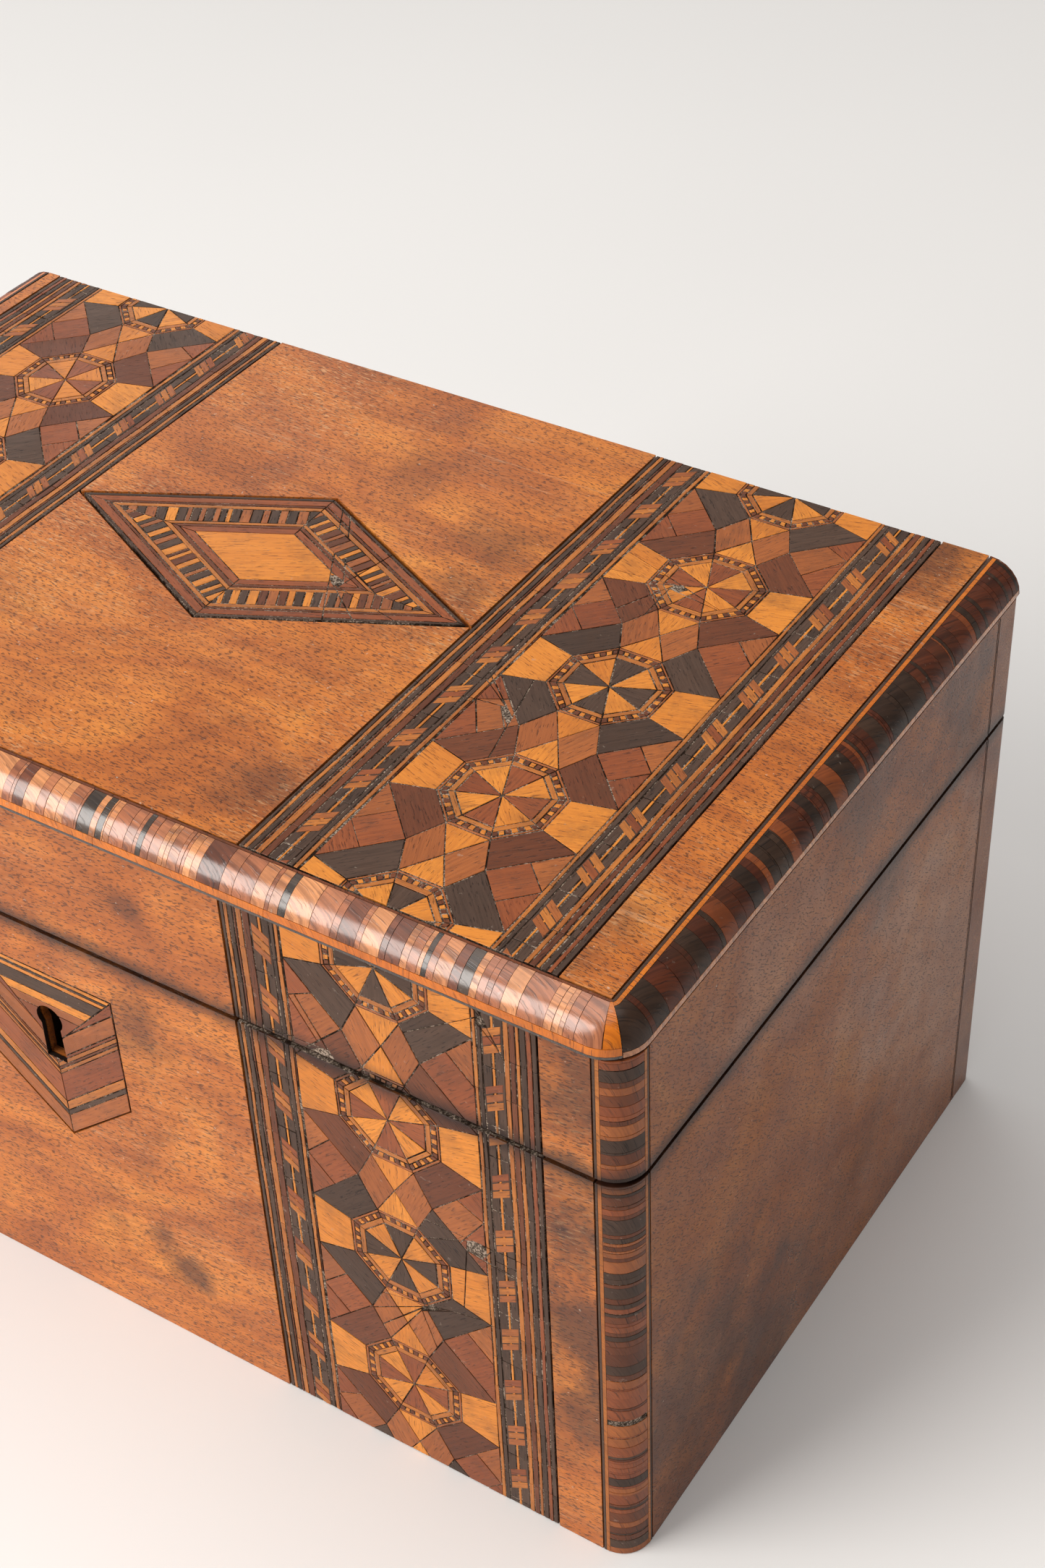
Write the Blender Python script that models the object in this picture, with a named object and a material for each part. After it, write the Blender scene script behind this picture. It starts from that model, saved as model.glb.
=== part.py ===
"""Parquetry tea caddy: a hinged, lockable walnut box with two lidded tea compartments.

Frame: metres, +Z up, +X to the right along the front, +Y to the back. The origin is the middle of
the base board's underside. Everything is at rest: lid shut, inner lids seated, lock bolt withdrawn.
"""

import math

import bmesh
import bpy
from mathutils import Matrix, Vector

MM = 0.001

# Driving dimensions
LENGTH = 229.0 * MM
DEPTH = 135.0 * MM
HEIGHT = 127.0 * MM
BODY_TOP = 94.0 * MM
LID_BOTTOM = 95.0 * MM
WALL = 8.0 * MM
GAP = 0.3 * MM

HALF_X = LENGTH / 2
HALF_Y = DEPTH / 2

# Edge moulding and rounded front corners
EDGE_R = 6.0 * MM
EDGE_PROUD = 0.6 * MM
EDGE_STEPS = 8
TURN_R = 6.3 * MM
CORNER_SIDE = 6.0 * MM
CORNER_R = 5.5 * MM
CORNER_STEPS = 8
BACK_ROUND = 1.5 * MM

# Inlaid decoration: all of it is centred a little left of the box's middle
PATTERN_X = -3.0 * MM
BAND_OFFSET = 73.0 * MM
BAND_WIDTH = 58.2 * MM
INLAY_THICK = 0.9 * MM
LOZENGE_HALF_X = 43.5 * MM
LOZENGE_HALF_Y = 21.3 * MM
LOZENGE_Y = 4.5 * MM

# Keyhole escutcheon, a shield with its point down
SHIELD_HALF_X = 15.6 * MM
SHIELD_TOP = 83.9 * MM
SHIELD_SHOULDER = 57.7 * MM
SHIELD_POINT = 43.8 * MM
KEY_Z = 72.6 * MM
KEY_R = 2.9 * MM
KEY_SLOT_HALF = 2.3 * MM
KEY_SLOT_NECK = 2.15 * MM
KEY_BOTTOM = 62.8 * MM

# Inside
BASE_THICK = 6.0 * MM
LINER = 3.0 * MM
LINER_TOP = 97.0 * MM
DIVIDER = 3.0 * MM
DIVIDER_TOP = 84.0 * MM
FOIL = 0.5 * MM
REST_WIDTH = 3.0 * MM
REST_TOP = 78.0 * MM
REST_HEIGHT = 4.0 * MM
INNER_LID_THICK = 5.0 * MM
INNER_LID_PLAY = 0.5 * MM
LINING_THICK = 2.2 * MM

# Lock
LOCK_HALF_X = 20.0 * MM
LOCK_PLATE_HALF_X = 25.0 * MM
LOCK_THICK = 5.0 * MM
LOCK_BOTTOM = 57.0 * MM
PLATE = 1.0 * MM
STAPLE_X = 9.0 * MM
STAPLE_LENGTH = 3.0 * MM
STAPLE_WIDTH = 3.0 * MM
STAPLE_DROP = 6.0 * MM
STAPLE_HOLE = 1.8 * MM
BOLT_THICK = 1.2 * MM
BOLT_TRAVEL = 4.0 * MM

# Hinges
HINGE_X = 70.0 * MM
HINGE_LENGTH = 24.0 * MM
KNUCKLE_R = 1.9 * MM
PIN_BORE = 1.1 * MM
PIN_R = 0.85 * MM
LEAF = 0.9 * MM
LEAF_REACH = 6.9 * MM
KNUCKLES = 5
KNUCKLE_GAP = 0.3 * MM
AXIS_Y = HALF_Y + KNUCKLE_R + GAP
AXIS_Z = (BODY_TOP + LID_BOTTOM) / 2

# Screws
SCREW_HEAD_R = 1.7 * MM
SCREW_HEAD = 0.7 * MM
SCREW_R = 0.8 * MM
SCREW_LENGTH = 7.0 * MM
SCREW_SLOT = 0.5 * MM
SCREW_SINK = 0.1 * MM

BOARD_BOTTOM = HEIGHT - EDGE_R
RAIL_TOP = BOARD_BOTTOM - GAP
INNER_X = HALF_X - WALL
INNER_Y = HALF_Y - WALL
LINER_X = INNER_X - GAP
LINER_Y = INNER_Y - GAP
ROOM_X = LINER_X - LINER
ROOM_Y = LINER_Y - LINER
FRONT = -HALF_Y
LOCK_Y = FRONT + 2.8 * MM + LOCK_THICK / 2
MOULDING_INNER_X = HALF_X - EDGE_R - GAP
MOULDING_INNER_Y = HALF_Y - EDGE_R - GAP

COLOURS = {
    "walnut": ((0.36, 0.13, 0.045), 0.38, 0.0),
    "secondary_wood": ((0.45, 0.27, 0.12), 0.6, 0.0),
    "parquetry": ((0.42, 0.17, 0.05), 0.38, 0.0),
    "crossbanding": ((0.12, 0.035, 0.02), 0.3, 0.0),
    "mahogany": ((0.22, 0.06, 0.025), 0.42, 0.0),
    "foil": ((0.45, 0.45, 0.44), 0.45, 1.0),
    "velvet": ((0.16, 0.03, 0.035), 0.9, 0.0),
    "brass": ((0.62, 0.42, 0.16), 0.35, 1.0),
    "steel": ((0.4, 0.39, 0.37), 0.4, 1.0),
    "boxwood": ((0.55, 0.33, 0.12), 0.4, 0.0),
}


def material(name):
    found = bpy.data.materials.get(name)
    if found:
        return found
    colour, rough, metal = COLOURS[name]
    made = bpy.data.materials.new(name)
    made.use_nodes = True
    shader = made.node_tree.nodes["Principled BSDF"]
    shader.inputs["Base Color"].default_value = (*colour, 1.0)
    shader.inputs["Roughness"].default_value = rough
    shader.inputs["Metallic"].default_value = metal
    return made


def empty(name, location=(0, 0, 0)):
    made = bpy.data.objects.new(name, None)
    made.location = location
    bpy.context.scene.collection.objects.link(made)
    return made


def finish(name, bm, finish_name, parent=None, smooth=None):
    """Turns a bmesh in world coordinates into an object, under parent if one is given."""
    bmesh.ops.recalc_face_normals(bm, faces=bm.faces)
    mesh = bpy.data.meshes.new(name)
    bm.to_mesh(mesh)
    bm.free()
    if finish_name:
        mesh.materials.append(material(finish_name))
    made = bpy.data.objects.new(name, mesh)
    bpy.context.scene.collection.objects.link(made)
    if parent:
        mesh.transform(Matrix.Translation(-parent.location))
        made.parent = parent
    if smooth:
        mesh.shade_smooth()
        mesh.set_sharp_from_angle(angle=math.radians(smooth))
    return made


def add_box(bm, low, high):
    low, high = Vector(low), Vector(high)
    size = high - low
    place = Matrix.Translation((low + high) / 2) @ Matrix.Diagonal((*size, 1.0))
    return bmesh.ops.create_cube(bm, size=1.0, matrix=place)["verts"]


def box(name, low, high, finish_name, parent=None):
    bm = bmesh.new()
    add_box(bm, low, high)
    return finish(name, bm, finish_name, parent)


def prism(bm, outline, low, high, axis="Z"):
    """A straight prism of an outline in the plane across axis, from low to high along it."""
    place = {
        "X": lambda p, t: (t, p[0], p[1]),
        "Y": lambda p, t: (p[0], t, p[1]),
        "Z": lambda p, t: (p[0], p[1], t),
    }[axis]
    ends = [[bm.verts.new(place(p, t)) for p in outline] for t in (low, high)]
    bm.faces.new(ends[0])
    bm.faces.new(ends[1][::-1])
    for i in range(len(outline)):
        j = (i + 1) % len(outline)
        bm.faces.new((ends[0][i], ends[0][j], ends[1][j], ends[1][i]))


def add_cylinder(bm, centre, radius, low, high, axis="Z", sides=16):
    ring = [
        (
            centre[0] + radius * math.cos(math.tau * i / sides),
            centre[1] + radius * math.sin(math.tau * i / sides),
        )
        for i in range(sides)
    ]
    prism(bm, ring, low, high, axis)


def cut(target, bm):
    """Cuts a bmesh in world coordinates out of an object with a hidden cutter."""
    count = sum(m.type == "BOOLEAN" for m in target.modifiers)
    cutter = finish(f"{target.name}_cutter_{count}", bm, None)
    cutter.hide_render = True
    cutter.display_type = "WIRE"
    if target.parent:
        cutter.parent = target.parent
        cutter.data.transform(Matrix.Translation(-target.parent.location))
    modifier = target.modifiers.new(f"Cut {count}", "BOOLEAN")
    modifier.operation = "DIFFERENCE"
    modifier.object = cutter
    return cutter


def cut_box(target, low, high):
    bm = bmesh.new()
    add_box(bm, low, high)
    return cut(target, bm)


def join(target, bm):
    """Adds a bmesh in world coordinates to an object with a Boolean union."""
    helper = cut(target, bm)
    modifier = target.modifiers[-1]
    modifier.name = "Join " + helper.name[-1]
    modifier.operation = "UNION"
    return helper


def arc(centre, radius, start, end, steps):
    return [
        (
            centre[0] + radius * math.cos(start + (end - start) * i / steps),
            centre[1] + radius * math.sin(start + (end - start) * i / steps),
        )
        for i in range(steps + 1)
    ]


def band_centre(side):
    return PATTERN_X + side * BAND_OFFSET


def shield(grow=0.0):
    """The escutcheon's outline in X and Z."""
    half = SHIELD_HALF_X + grow
    return [
        (PATTERN_X - half, SHIELD_TOP + grow),
        (PATTERN_X - half, SHIELD_SHOULDER - grow * 0.4),
        (PATTERN_X, SHIELD_POINT - grow * 1.4),
        (PATTERN_X + half, SHIELD_SHOULDER - grow * 0.4),
        (PATTERN_X + half, SHIELD_TOP + grow),
    ]


def keyhole(grow=0.0):
    """A round head over a slot that widens a little downwards, in X and Z."""
    radius = KEY_R + grow
    half = KEY_SLOT_HALF + grow
    neck = KEY_SLOT_NECK + grow
    start = -math.acos(neck / radius)
    head = arc((PATTERN_X, KEY_Z), radius, start, math.pi - start, 14)
    return [
        (PATTERN_X - half, KEY_BOTTOM - grow),
        (PATTERN_X + half, KEY_BOTTOM - grow),
        *head,
    ]


def lozenge(grow=0.0):
    """The rhombus on the lid, its sides moved out by grow, in X and Y."""
    slant = math.hypot(LOZENGE_HALF_X, LOZENGE_HALF_Y)
    half_x = LOZENGE_HALF_X + grow * slant / LOZENGE_HALF_Y
    half_y = LOZENGE_HALF_Y + grow * slant / LOZENGE_HALF_X
    return [
        (PATTERN_X - half_x, LOZENGE_Y),
        (PATTERN_X, LOZENGE_Y - half_y),
        (PATTERN_X + half_x, LOZENGE_Y),
        (PATTERN_X, LOZENGE_Y + half_y),
    ]


def carcass():
    """Base board and the four veneered walls."""
    edge_x = INNER_X - GAP
    edge_y = INNER_Y - GAP
    box("base_board", (-edge_x, -edge_y, 0), (edge_x, edge_y, BASE_THICK), "secondary_wood")
    front = front_board("body_front_wall", 0, BODY_TOP)
    side_walls("body", 0, BODY_TOP)
    back = back_board("body_back_wall", 0, BODY_TOP)
    for side in (-1, 1):
        x = band_centre(side)
        half = BAND_WIDTH / 2 + GAP
        depth = FRONT + INLAY_THICK + GAP
        cut_box(front, (x - half, FRONT - MM, -MM), (x + half, depth, BODY_TOP + MM))
    cut_shield(front)
    cut_lock_mortise(front)
    for side in (-1, 1):
        cut_hinge_mortise(back, side, BODY_TOP - LEAF - GAP, BODY_TOP + MM)
        for x in hinge_screw_xs(side):
            cut_screw_hole(back, (x, hinge_screw_y()), BODY_TOP, -1)


def side_walls(prefix, low, high, parent=None):
    for side, name in ((-1, "left"), (1, "right")):
        xs = sorted((side * INNER_X, side * HALF_X))
        box(
            f"{prefix}_{name}_wall",
            (xs[0], FRONT + CORNER_SIDE + GAP, low),
            (xs[1], INNER_Y - GAP, high),
            "walnut",
            parent,
        )


def front_board(name, low, high, parent=None):
    """A front wall, stepped at both ends round the corner posts and the side walls."""
    wide = HALF_X - CORNER_SIDE - GAP
    narrow = INNER_X - GAP
    step = FRONT + CORNER_SIDE - GAP
    half = [(wide, FRONT), (wide, step), (narrow, step), (narrow, -INNER_Y)]
    bm = bmesh.new()
    prism(bm, half + [(-x, y) for x, y in reversed(half)], low, high)
    return finish(name, bm, "walnut", parent)


def back_board(name, low, high, parent=None):
    """A back wall whose two outer corners are eased."""
    turn = math.pi / 2
    outline = [
        (-HALF_X, INNER_Y),
        (HALF_X, INNER_Y),
        *arc((HALF_X - BACK_ROUND, HALF_Y - BACK_ROUND), BACK_ROUND, 0, turn, 4),
        *arc((BACK_ROUND - HALF_X, HALF_Y - BACK_ROUND), BACK_ROUND, turn, 2 * turn, 4),
    ]
    bm = bmesh.new()
    prism(bm, outline, low, high)
    return finish(name, bm, "walnut", parent)


def cut_shield(front):
    bm = bmesh.new()
    prism(bm, shield(GAP), FRONT - MM, FRONT + INLAY_THICK + GAP, "Y")
    cut(front, bm)
    bm = bmesh.new()
    prism(bm, keyhole(), FRONT, LOCK_Y, "Y")
    cut(front, bm)


def cut_lock_mortise(front):
    low_y = LOCK_Y - LOCK_THICK / 2 - GAP
    for half, low in ((LOCK_HALF_X, LOCK_BOTTOM), (LOCK_PLATE_HALF_X, BODY_TOP - PLATE)):
        cut_box(
            front,
            (PATTERN_X - half - GAP, low_y, low - GAP),
            (PATTERN_X + half + GAP, -INNER_Y + MM, BODY_TOP + MM),
        )


def corners(prefix, low, high, parent=None):
    """The crossbanded quarter-round posts at the two front corners."""
    for side, name in ((-1, "left"), (1, "right")):
        mid = (HALF_X - CORNER_R, FRONT + CORNER_R)
        inner = (HALF_X - CORNER_SIDE, FRONT + CORNER_SIDE)
        outline = [
            inner,
            (inner[0], FRONT),
            *arc(mid, CORNER_R, -math.pi / 2, 0, CORNER_STEPS),
            (HALF_X, inner[1]),
        ]
        bm = bmesh.new()
        prism(bm, [(side * x, y) for x, y in outline], low, high)
        finish(f"{prefix}_corner_{name}", bm, "crossbanding", parent, smooth=35)


def front_bands(prefix, low, high, parent=None):
    for side, name in ((-1, "left"), (1, "right")):
        x = band_centre(side)
        box(
            f"{prefix}_front_band_{name}",
            (x - BAND_WIDTH / 2, FRONT, low),
            (x + BAND_WIDTH / 2, FRONT + INLAY_THICK, high),
            "parquetry",
            parent,
        )


def escutcheon():
    bm = bmesh.new()
    prism(bm, shield(), FRONT, FRONT + INLAY_THICK, "Y")
    made = finish("escutcheon_inlay", bm, "parquetry")
    bm = bmesh.new()
    prism(bm, keyhole(), FRONT - MM, FRONT + INLAY_THICK + MM, "Y")
    cut(made, bm)


def liners():
    """The four lining boards, whose top edges stand above the rim and locate the lid."""
    low = BASE_THICK + GAP
    for side, name in ((-1, "front"), (1, "back")):
        ys = sorted((side * ROOM_Y, side * LINER_Y))
        made = box(
            f"{name}_liner", (-LINER_X, ys[0], low), (LINER_X, ys[1], LINER_TOP), "mahogany"
        )
        ease_top(made, "y", side)
    for side, name in ((-1, "left"), (1, "right")):
        xs = sorted((side * ROOM_X, side * LINER_X))
        made = box(
            f"{name}_liner",
            (xs[0], -ROOM_Y + GAP, low),
            (xs[1], ROOM_Y - GAP, LINER_TOP),
            "mahogany",
        )
        ease_top(made, "x", side)


def ease_top(obj, across, side):
    """Bevels the outer top edge of a lining board, which leads the lid down over it."""
    bm = bmesh.new()
    bm.from_mesh(obj.data)
    pick = [
        e
        for e in bm.edges
        if all(v.co.z > LINER_TOP - 1e-6 for v in e.verts)
        and all(
            side * getattr(v.co, across) > side * getattr(obj_centre(obj), across)
            for v in e.verts
        )
    ]
    bmesh.ops.bevel(bm, geom=pick, offset=1.0 * MM, segments=1, affect="EDGES")
    bm.to_mesh(obj.data)
    bm.free()


def obj_centre(obj):
    total = Vector((0, 0, 0))
    for vertex in obj.data.vertices:
        total += vertex.co
    return total / len(obj.data.vertices)


def compartment(side):
    """Low and high X of one tea compartment, between the divider and a lining board."""
    inner = DIVIDER / 2
    return tuple(sorted((side * inner, side * ROOM_X)))


def compartments():
    """Divider, foil linings and the fillets that the inner lids rest on."""
    low = BASE_THICK + GAP
    box(
        "divider",
        (-DIVIDER / 2, -ROOM_Y + GAP, low),
        (DIVIDER / 2, ROOM_Y - GAP, DIVIDER_TOP),
        "mahogany",
    )
    for side, name in ((-1, "left"), (1, "right")):
        x0, x1 = compartment(side)
        lo = Vector((x0 + GAP, -ROOM_Y + GAP, low))
        hi = Vector((x1 - GAP, ROOM_Y - GAP, REST_TOP - REST_HEIGHT - GAP))
        foil = box(f"{name}_foil_lining", lo, hi, "foil")
        wall = Vector((FOIL, FOIL, FOIL))
        cut_box(foil, lo + wall, (hi.x - FOIL, hi.y - FOIL, hi.z + MM))
        rest = box(
            f"{name}_lid_rest",
            (lo.x, lo.y, REST_TOP - REST_HEIGHT),
            (hi.x, hi.y, REST_TOP),
            "mahogany",
        )
        cut_box(
            rest,
            (lo.x + REST_WIDTH, lo.y + REST_WIDTH, REST_TOP - REST_HEIGHT - MM),
            (hi.x - REST_WIDTH, hi.y - REST_WIDTH, REST_TOP + MM),
        )


def inner_lids():
    """Two loose lids, each lifted by a turned knob whose spigot is glued through it."""
    low = REST_TOP + GAP
    for side, name in ((-1, "left"), (1, "right")):
        x0, x1 = compartment(side)
        centre = (x0 + x1) / 2
        origin = empty(f"{name}_inner_lid_origin", (centre, 0, low))
        lid = box(
            f"{name}_inner_lid",
            (x0 + INNER_LID_PLAY, -ROOM_Y + INNER_LID_PLAY, low),
            (x1 - INNER_LID_PLAY, ROOM_Y - INNER_LID_PLAY, low + INNER_LID_THICK),
            "mahogany",
            origin,
        )
        bm = bmesh.new()
        add_cylinder(bm, (centre, 0), 2.3 * MM, low - MM, low + INNER_LID_THICK + MM)
        cut(lid, bm)
        knob(f"{name}_knob", centre, low + INNER_LID_THICK, origin)


def knob(name, x, z, parent):
    """Turned profile, run down the outer side from the top of the button to the spigot's end."""
    button = [
        (5.2 * math.cos(math.radians(a)), 8.2 + 3.4 * math.sin(math.radians(a)))
        for a in range(75, -46, -15)
    ]
    profile = [
        *button,
        (2.3, 4.6),
        (2.2, 3.0),
        (3.0, 1.9),
        (4.4, 1.3),
        (4.4, 0.3),
        (2.0, 0.3),
        (2.0, -4.6),
    ]
    sides = 24
    bm = bmesh.new()
    rings = [
        [
            bm.verts.new(
                (
                    x + r * MM * math.cos(math.tau * i / sides),
                    r * MM * math.sin(math.tau * i / sides),
                    z + h * MM,
                )
            )
            for i in range(sides)
        ]
        for r, h in profile
    ]
    for upper, lower in zip(rings, rings[1:]):
        for i in range(sides):
            j = (i + 1) % sides
            bm.faces.new((upper[i], upper[j], lower[j], lower[i]))
    bm.faces.new(rings[0])
    bm.faces.new(rings[-1][::-1])
    finish(name, bm, "boxwood", parent, smooth=40)


def lock():
    """Case let into the front wall, with a sliding bolt whose two noses pass through the staples."""
    low_y, high_y = LOCK_Y - LOCK_THICK / 2, LOCK_Y + LOCK_THICK / 2
    case = box(
        "lock_case",
        (PATTERN_X - LOCK_HALF_X, low_y, LOCK_BOTTOM),
        (PATTERN_X + LOCK_HALF_X, high_y, BODY_TOP),
        "brass",
    )
    bm = bmesh.new()
    add_box(
        bm,
        (PATTERN_X - LOCK_PLATE_HALF_X, low_y, BODY_TOP - PLATE),
        (PATTERN_X + LOCK_PLATE_HALF_X, high_y, BODY_TOP),
    )
    join(case, bm)
    room = BOLT_THICK / 2 + 0.4 * MM
    cut_box(
        case,
        (PATTERN_X - 18.5 * MM, LOCK_Y - room, 84.4 * MM),
        (PATTERN_X + 12.5 * MM, LOCK_Y + room, BODY_TOP - PLATE),
    )
    slot_x = STAPLE_LENGTH / 2 + 0.5 * MM
    slot_y = STAPLE_WIDTH / 2 + 0.4 * MM
    for side in (-1, 1):
        x = PATTERN_X + side * STAPLE_X
        cut_box(
            case,
            (x - slot_x, LOCK_Y - slot_y, BODY_TOP - STAPLE_DROP - 0.1 * MM),
            (x + slot_x, LOCK_Y + slot_y, BODY_TOP + MM),
        )
    bm = bmesh.new()
    prism(bm, keyhole(), low_y - MM, low_y + 3.2 * MM, "Y")
    cut(case, bm)
    for side in (-1, 1):
        at = (PATTERN_X + side * 22.3 * MM, LOCK_Y)
        name = "left" if side < 0 else "right"
        cut_leaf_hole(case, at, BODY_TOP - PLATE, BODY_TOP)
        cut_screw_hole(bpy.data.objects["body_front_wall"], at, BODY_TOP, -1)
        screw(f"lock_screw_{name}", at, BODY_TOP, 1, "brass")
    bolt()


def bolt():
    origin = empty("lock_bolt_origin", (PATTERN_X, LOCK_Y, 87.0 * MM))
    half = BOLT_THICK / 2
    post_offset = -(STAPLE_LENGTH / 2 + GAP + BOLT_TRAVEL)
    left = PATTERN_X - STAPLE_X + post_offset - 2.2 * MM
    right = PATTERN_X + STAPLE_X + post_offset
    made = box(
        "lock_bolt",
        (left, LOCK_Y - half, 85.0 * MM),
        (right, LOCK_Y + half, 87.6 * MM),
        "steel",
        origin,
    )
    for side in (-1, 1):
        x = PATTERN_X + side * STAPLE_X + post_offset
        bm = bmesh.new()
        prism(
            bm,
            [
                (x - 2.2 * MM, 86.0 * MM),
                (x, 86.0 * MM),
                (x, 90.3 * MM),
                (x + 3.7 * MM, 90.3 * MM),
                (x + 3.7 * MM, 92.2 * MM),
                (x - 2.2 * MM, 92.2 * MM),
            ],
            LOCK_Y - half,
            LOCK_Y + half,
            "Y",
        )
        join(made, bm)


def link_plate(parent):
    """Plate under the lid's front rail, with the two staples that drop into the lock."""
    half_y = LOCK_THICK / 2
    made = box(
        "link_plate",
        (PATTERN_X - LOCK_HALF_X, LOCK_Y - half_y, LID_BOTTOM),
        (PATTERN_X + LOCK_HALF_X, LOCK_Y + half_y, LID_BOTTOM + PLATE),
        "brass",
        parent,
    )
    half_x, half_w = STAPLE_LENGTH / 2, STAPLE_WIDTH / 2
    for side in (-1, 1):
        x = PATTERN_X + side * STAPLE_X
        bm = bmesh.new()
        add_box(
            bm,
            (x - half_x, LOCK_Y - half_w, LID_BOTTOM - STAPLE_DROP),
            (x + half_x, LOCK_Y + half_w, LID_BOTTOM + PLATE / 2),
        )
        join(made, bm)
        cut_box(
            made,
            (x - half_x - MM, LOCK_Y - STAPLE_HOLE / 2, LID_BOTTOM - STAPLE_DROP + 1.0 * MM),
            (x + half_x + MM, LOCK_Y + STAPLE_HOLE / 2, LID_BOTTOM - 1.6 * MM),
        )
    rail = bpy.data.objects["lid_front_rail"]
    cut_box(
        rail,
        (PATTERN_X - LOCK_HALF_X - GAP, LOCK_Y - half_y - GAP, LID_BOTTOM - MM),
        (PATTERN_X + LOCK_HALF_X + GAP, -INNER_Y + MM, LID_BOTTOM + PLATE + GAP),
    )
    for side in (-1, 1):
        at = (PATTERN_X + side * 15.5 * MM, LOCK_Y)
        name = "left" if side < 0 else "right"
        cut_leaf_hole(made, at, LID_BOTTOM, LID_BOTTOM + PLATE)
        cut_screw_hole(rail, at, LID_BOTTOM, 1)
        screw(f"link_plate_screw_{name}", at, LID_BOTTOM, -1, "brass", parent)


def screw(name, at, surface, up, finish_name, parent=None):
    """A slotted screw, head towards up (1 or -1) and just under the surface it is sunk in."""
    top = surface - up * SCREW_SINK
    under = top - up * SCREW_HEAD
    tip = top - up * SCREW_LENGTH
    rows = [(SCREW_HEAD_R, top), (SCREW_R, under), (SCREW_R, tip + up * 1.5 * MM), (0.2 * MM, tip)]
    sides = 14
    bm = bmesh.new()
    rings = [
        [
            bm.verts.new(
                (
                    at[0] + r * math.cos(math.tau * i / sides),
                    at[1] + r * math.sin(math.tau * i / sides),
                    z,
                )
            )
            for i in range(sides)
        ]
        for r, z in rows
    ]
    for upper, lower in zip(rings, rings[1:]):
        for i in range(sides):
            j = (i + 1) % sides
            bm.faces.new((upper[i], upper[j], lower[j], lower[i]))
    bm.faces.new(rings[0])
    bm.faces.new(rings[-1][::-1])
    made = finish(name, bm, finish_name, parent)
    half = SCREW_SLOT / 2
    depth = sorted((top - up * 0.4 * MM, top + up * MM))
    cut_box(
        made,
        (at[0] - 2 * SCREW_HEAD_R, at[1] - half, depth[0]),
        (at[0] + 2 * SCREW_HEAD_R, at[1] + half, depth[1]),
    )


def cut_leaf_hole(target, at, low, high):
    bm = bmesh.new()
    add_cylinder(bm, at, SCREW_HEAD_R + GAP, low - MM, high + MM)
    cut(target, bm)


def cut_screw_hole(target, at, surface, into):
    bm = bmesh.new()
    low, high = sorted((surface - into * MM, surface + into * (SCREW_LENGTH + 0.5 * MM)))
    add_cylinder(bm, at, SCREW_R + GAP, low, high, sides=10)
    cut(target, bm)


def hinge_screw_xs(side):
    return [side * HINGE_X + offset for offset in (-7.5 * MM, 7.5 * MM)]


def hinge_screw_y():
    return HALF_Y - LEAF_REACH / 2 - 0.4 * MM


def cut_hinge_mortise(target, side, low, high):
    half = HINGE_LENGTH / 2 + GAP
    x = side * HINGE_X
    cut_box(target, (x - half, HALF_Y - LEAF_REACH - GAP, low), (x + half, HALF_Y + MM, high))


def knuckle_span(side, index):
    """Low and high X of one knuckle, with running gaps between neighbours."""
    step = HINGE_LENGTH / KNUCKLES
    start = side * HINGE_X - HINGE_LENGTH / 2 + index * step
    return start + KNUCKLE_GAP / 2, start + step - KNUCKLE_GAP / 2


def hinges(lid):
    for side, name in ((-1, "left"), (1, "right")):
        hinge_leaf(f"{name}_hinge_body_leaf", side, BODY_TOP - LEAF, 0, None)
        hinge_leaf(f"{name}_hinge_lid_leaf", side, LID_BOTTOM, 1, lid)
        bm = bmesh.new()
        half = HINGE_LENGTH / 2 + 0.3 * MM
        x = side * HINGE_X
        add_cylinder(bm, (AXIS_Y, AXIS_Z), PIN_R, x - half, x + half, "X", sides=16)
        finish(f"{name}_hinge_pin", bm, "brass", smooth=40)
        for index, x in enumerate(hinge_screw_xs(side), 1):
            at = (x, hinge_screw_y())
            screw(f"{name}_hinge_body_screw_{index}", at, BODY_TOP, 1, "steel")
            screw(f"{name}_hinge_lid_screw_{index}", at, LID_BOTTOM, -1, "steel", lid)


def hinge_leaf(name, side, low, first, parent):
    """A leaf let into the edge, and every second knuckle from first."""
    half = HINGE_LENGTH / 2
    x = side * HINGE_X
    made = box(
        name,
        (x - half, HALF_Y - LEAF_REACH, low),
        (x + half, HALF_Y - 0.1 * MM, low + LEAF),
        "brass",
        parent,
    )
    for index in range(first, KNUCKLES, 2):
        x0, x1 = knuckle_span(side, index)
        bm = bmesh.new()
        add_box(bm, (x0, HALF_Y - MM, low), (x1, AXIS_Y - PIN_BORE - 0.2 * MM, low + LEAF))
        join(made, bm)
        bm = bmesh.new()
        add_cylinder(bm, (AXIS_Y, AXIS_Z), KNUCKLE_R, x0, x1, "X", sides=20)
        join(made, bm)
        bm = bmesh.new()
        add_cylinder(bm, (AXIS_Y, AXIS_Z), PIN_BORE, x0 - MM, x1 + MM, "X", sides=16)
        cut(made, bm)
    for screw_x in hinge_screw_xs(side):
        cut_leaf_hole(made, (screw_x, hinge_screw_y()), low, low + LEAF)


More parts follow.
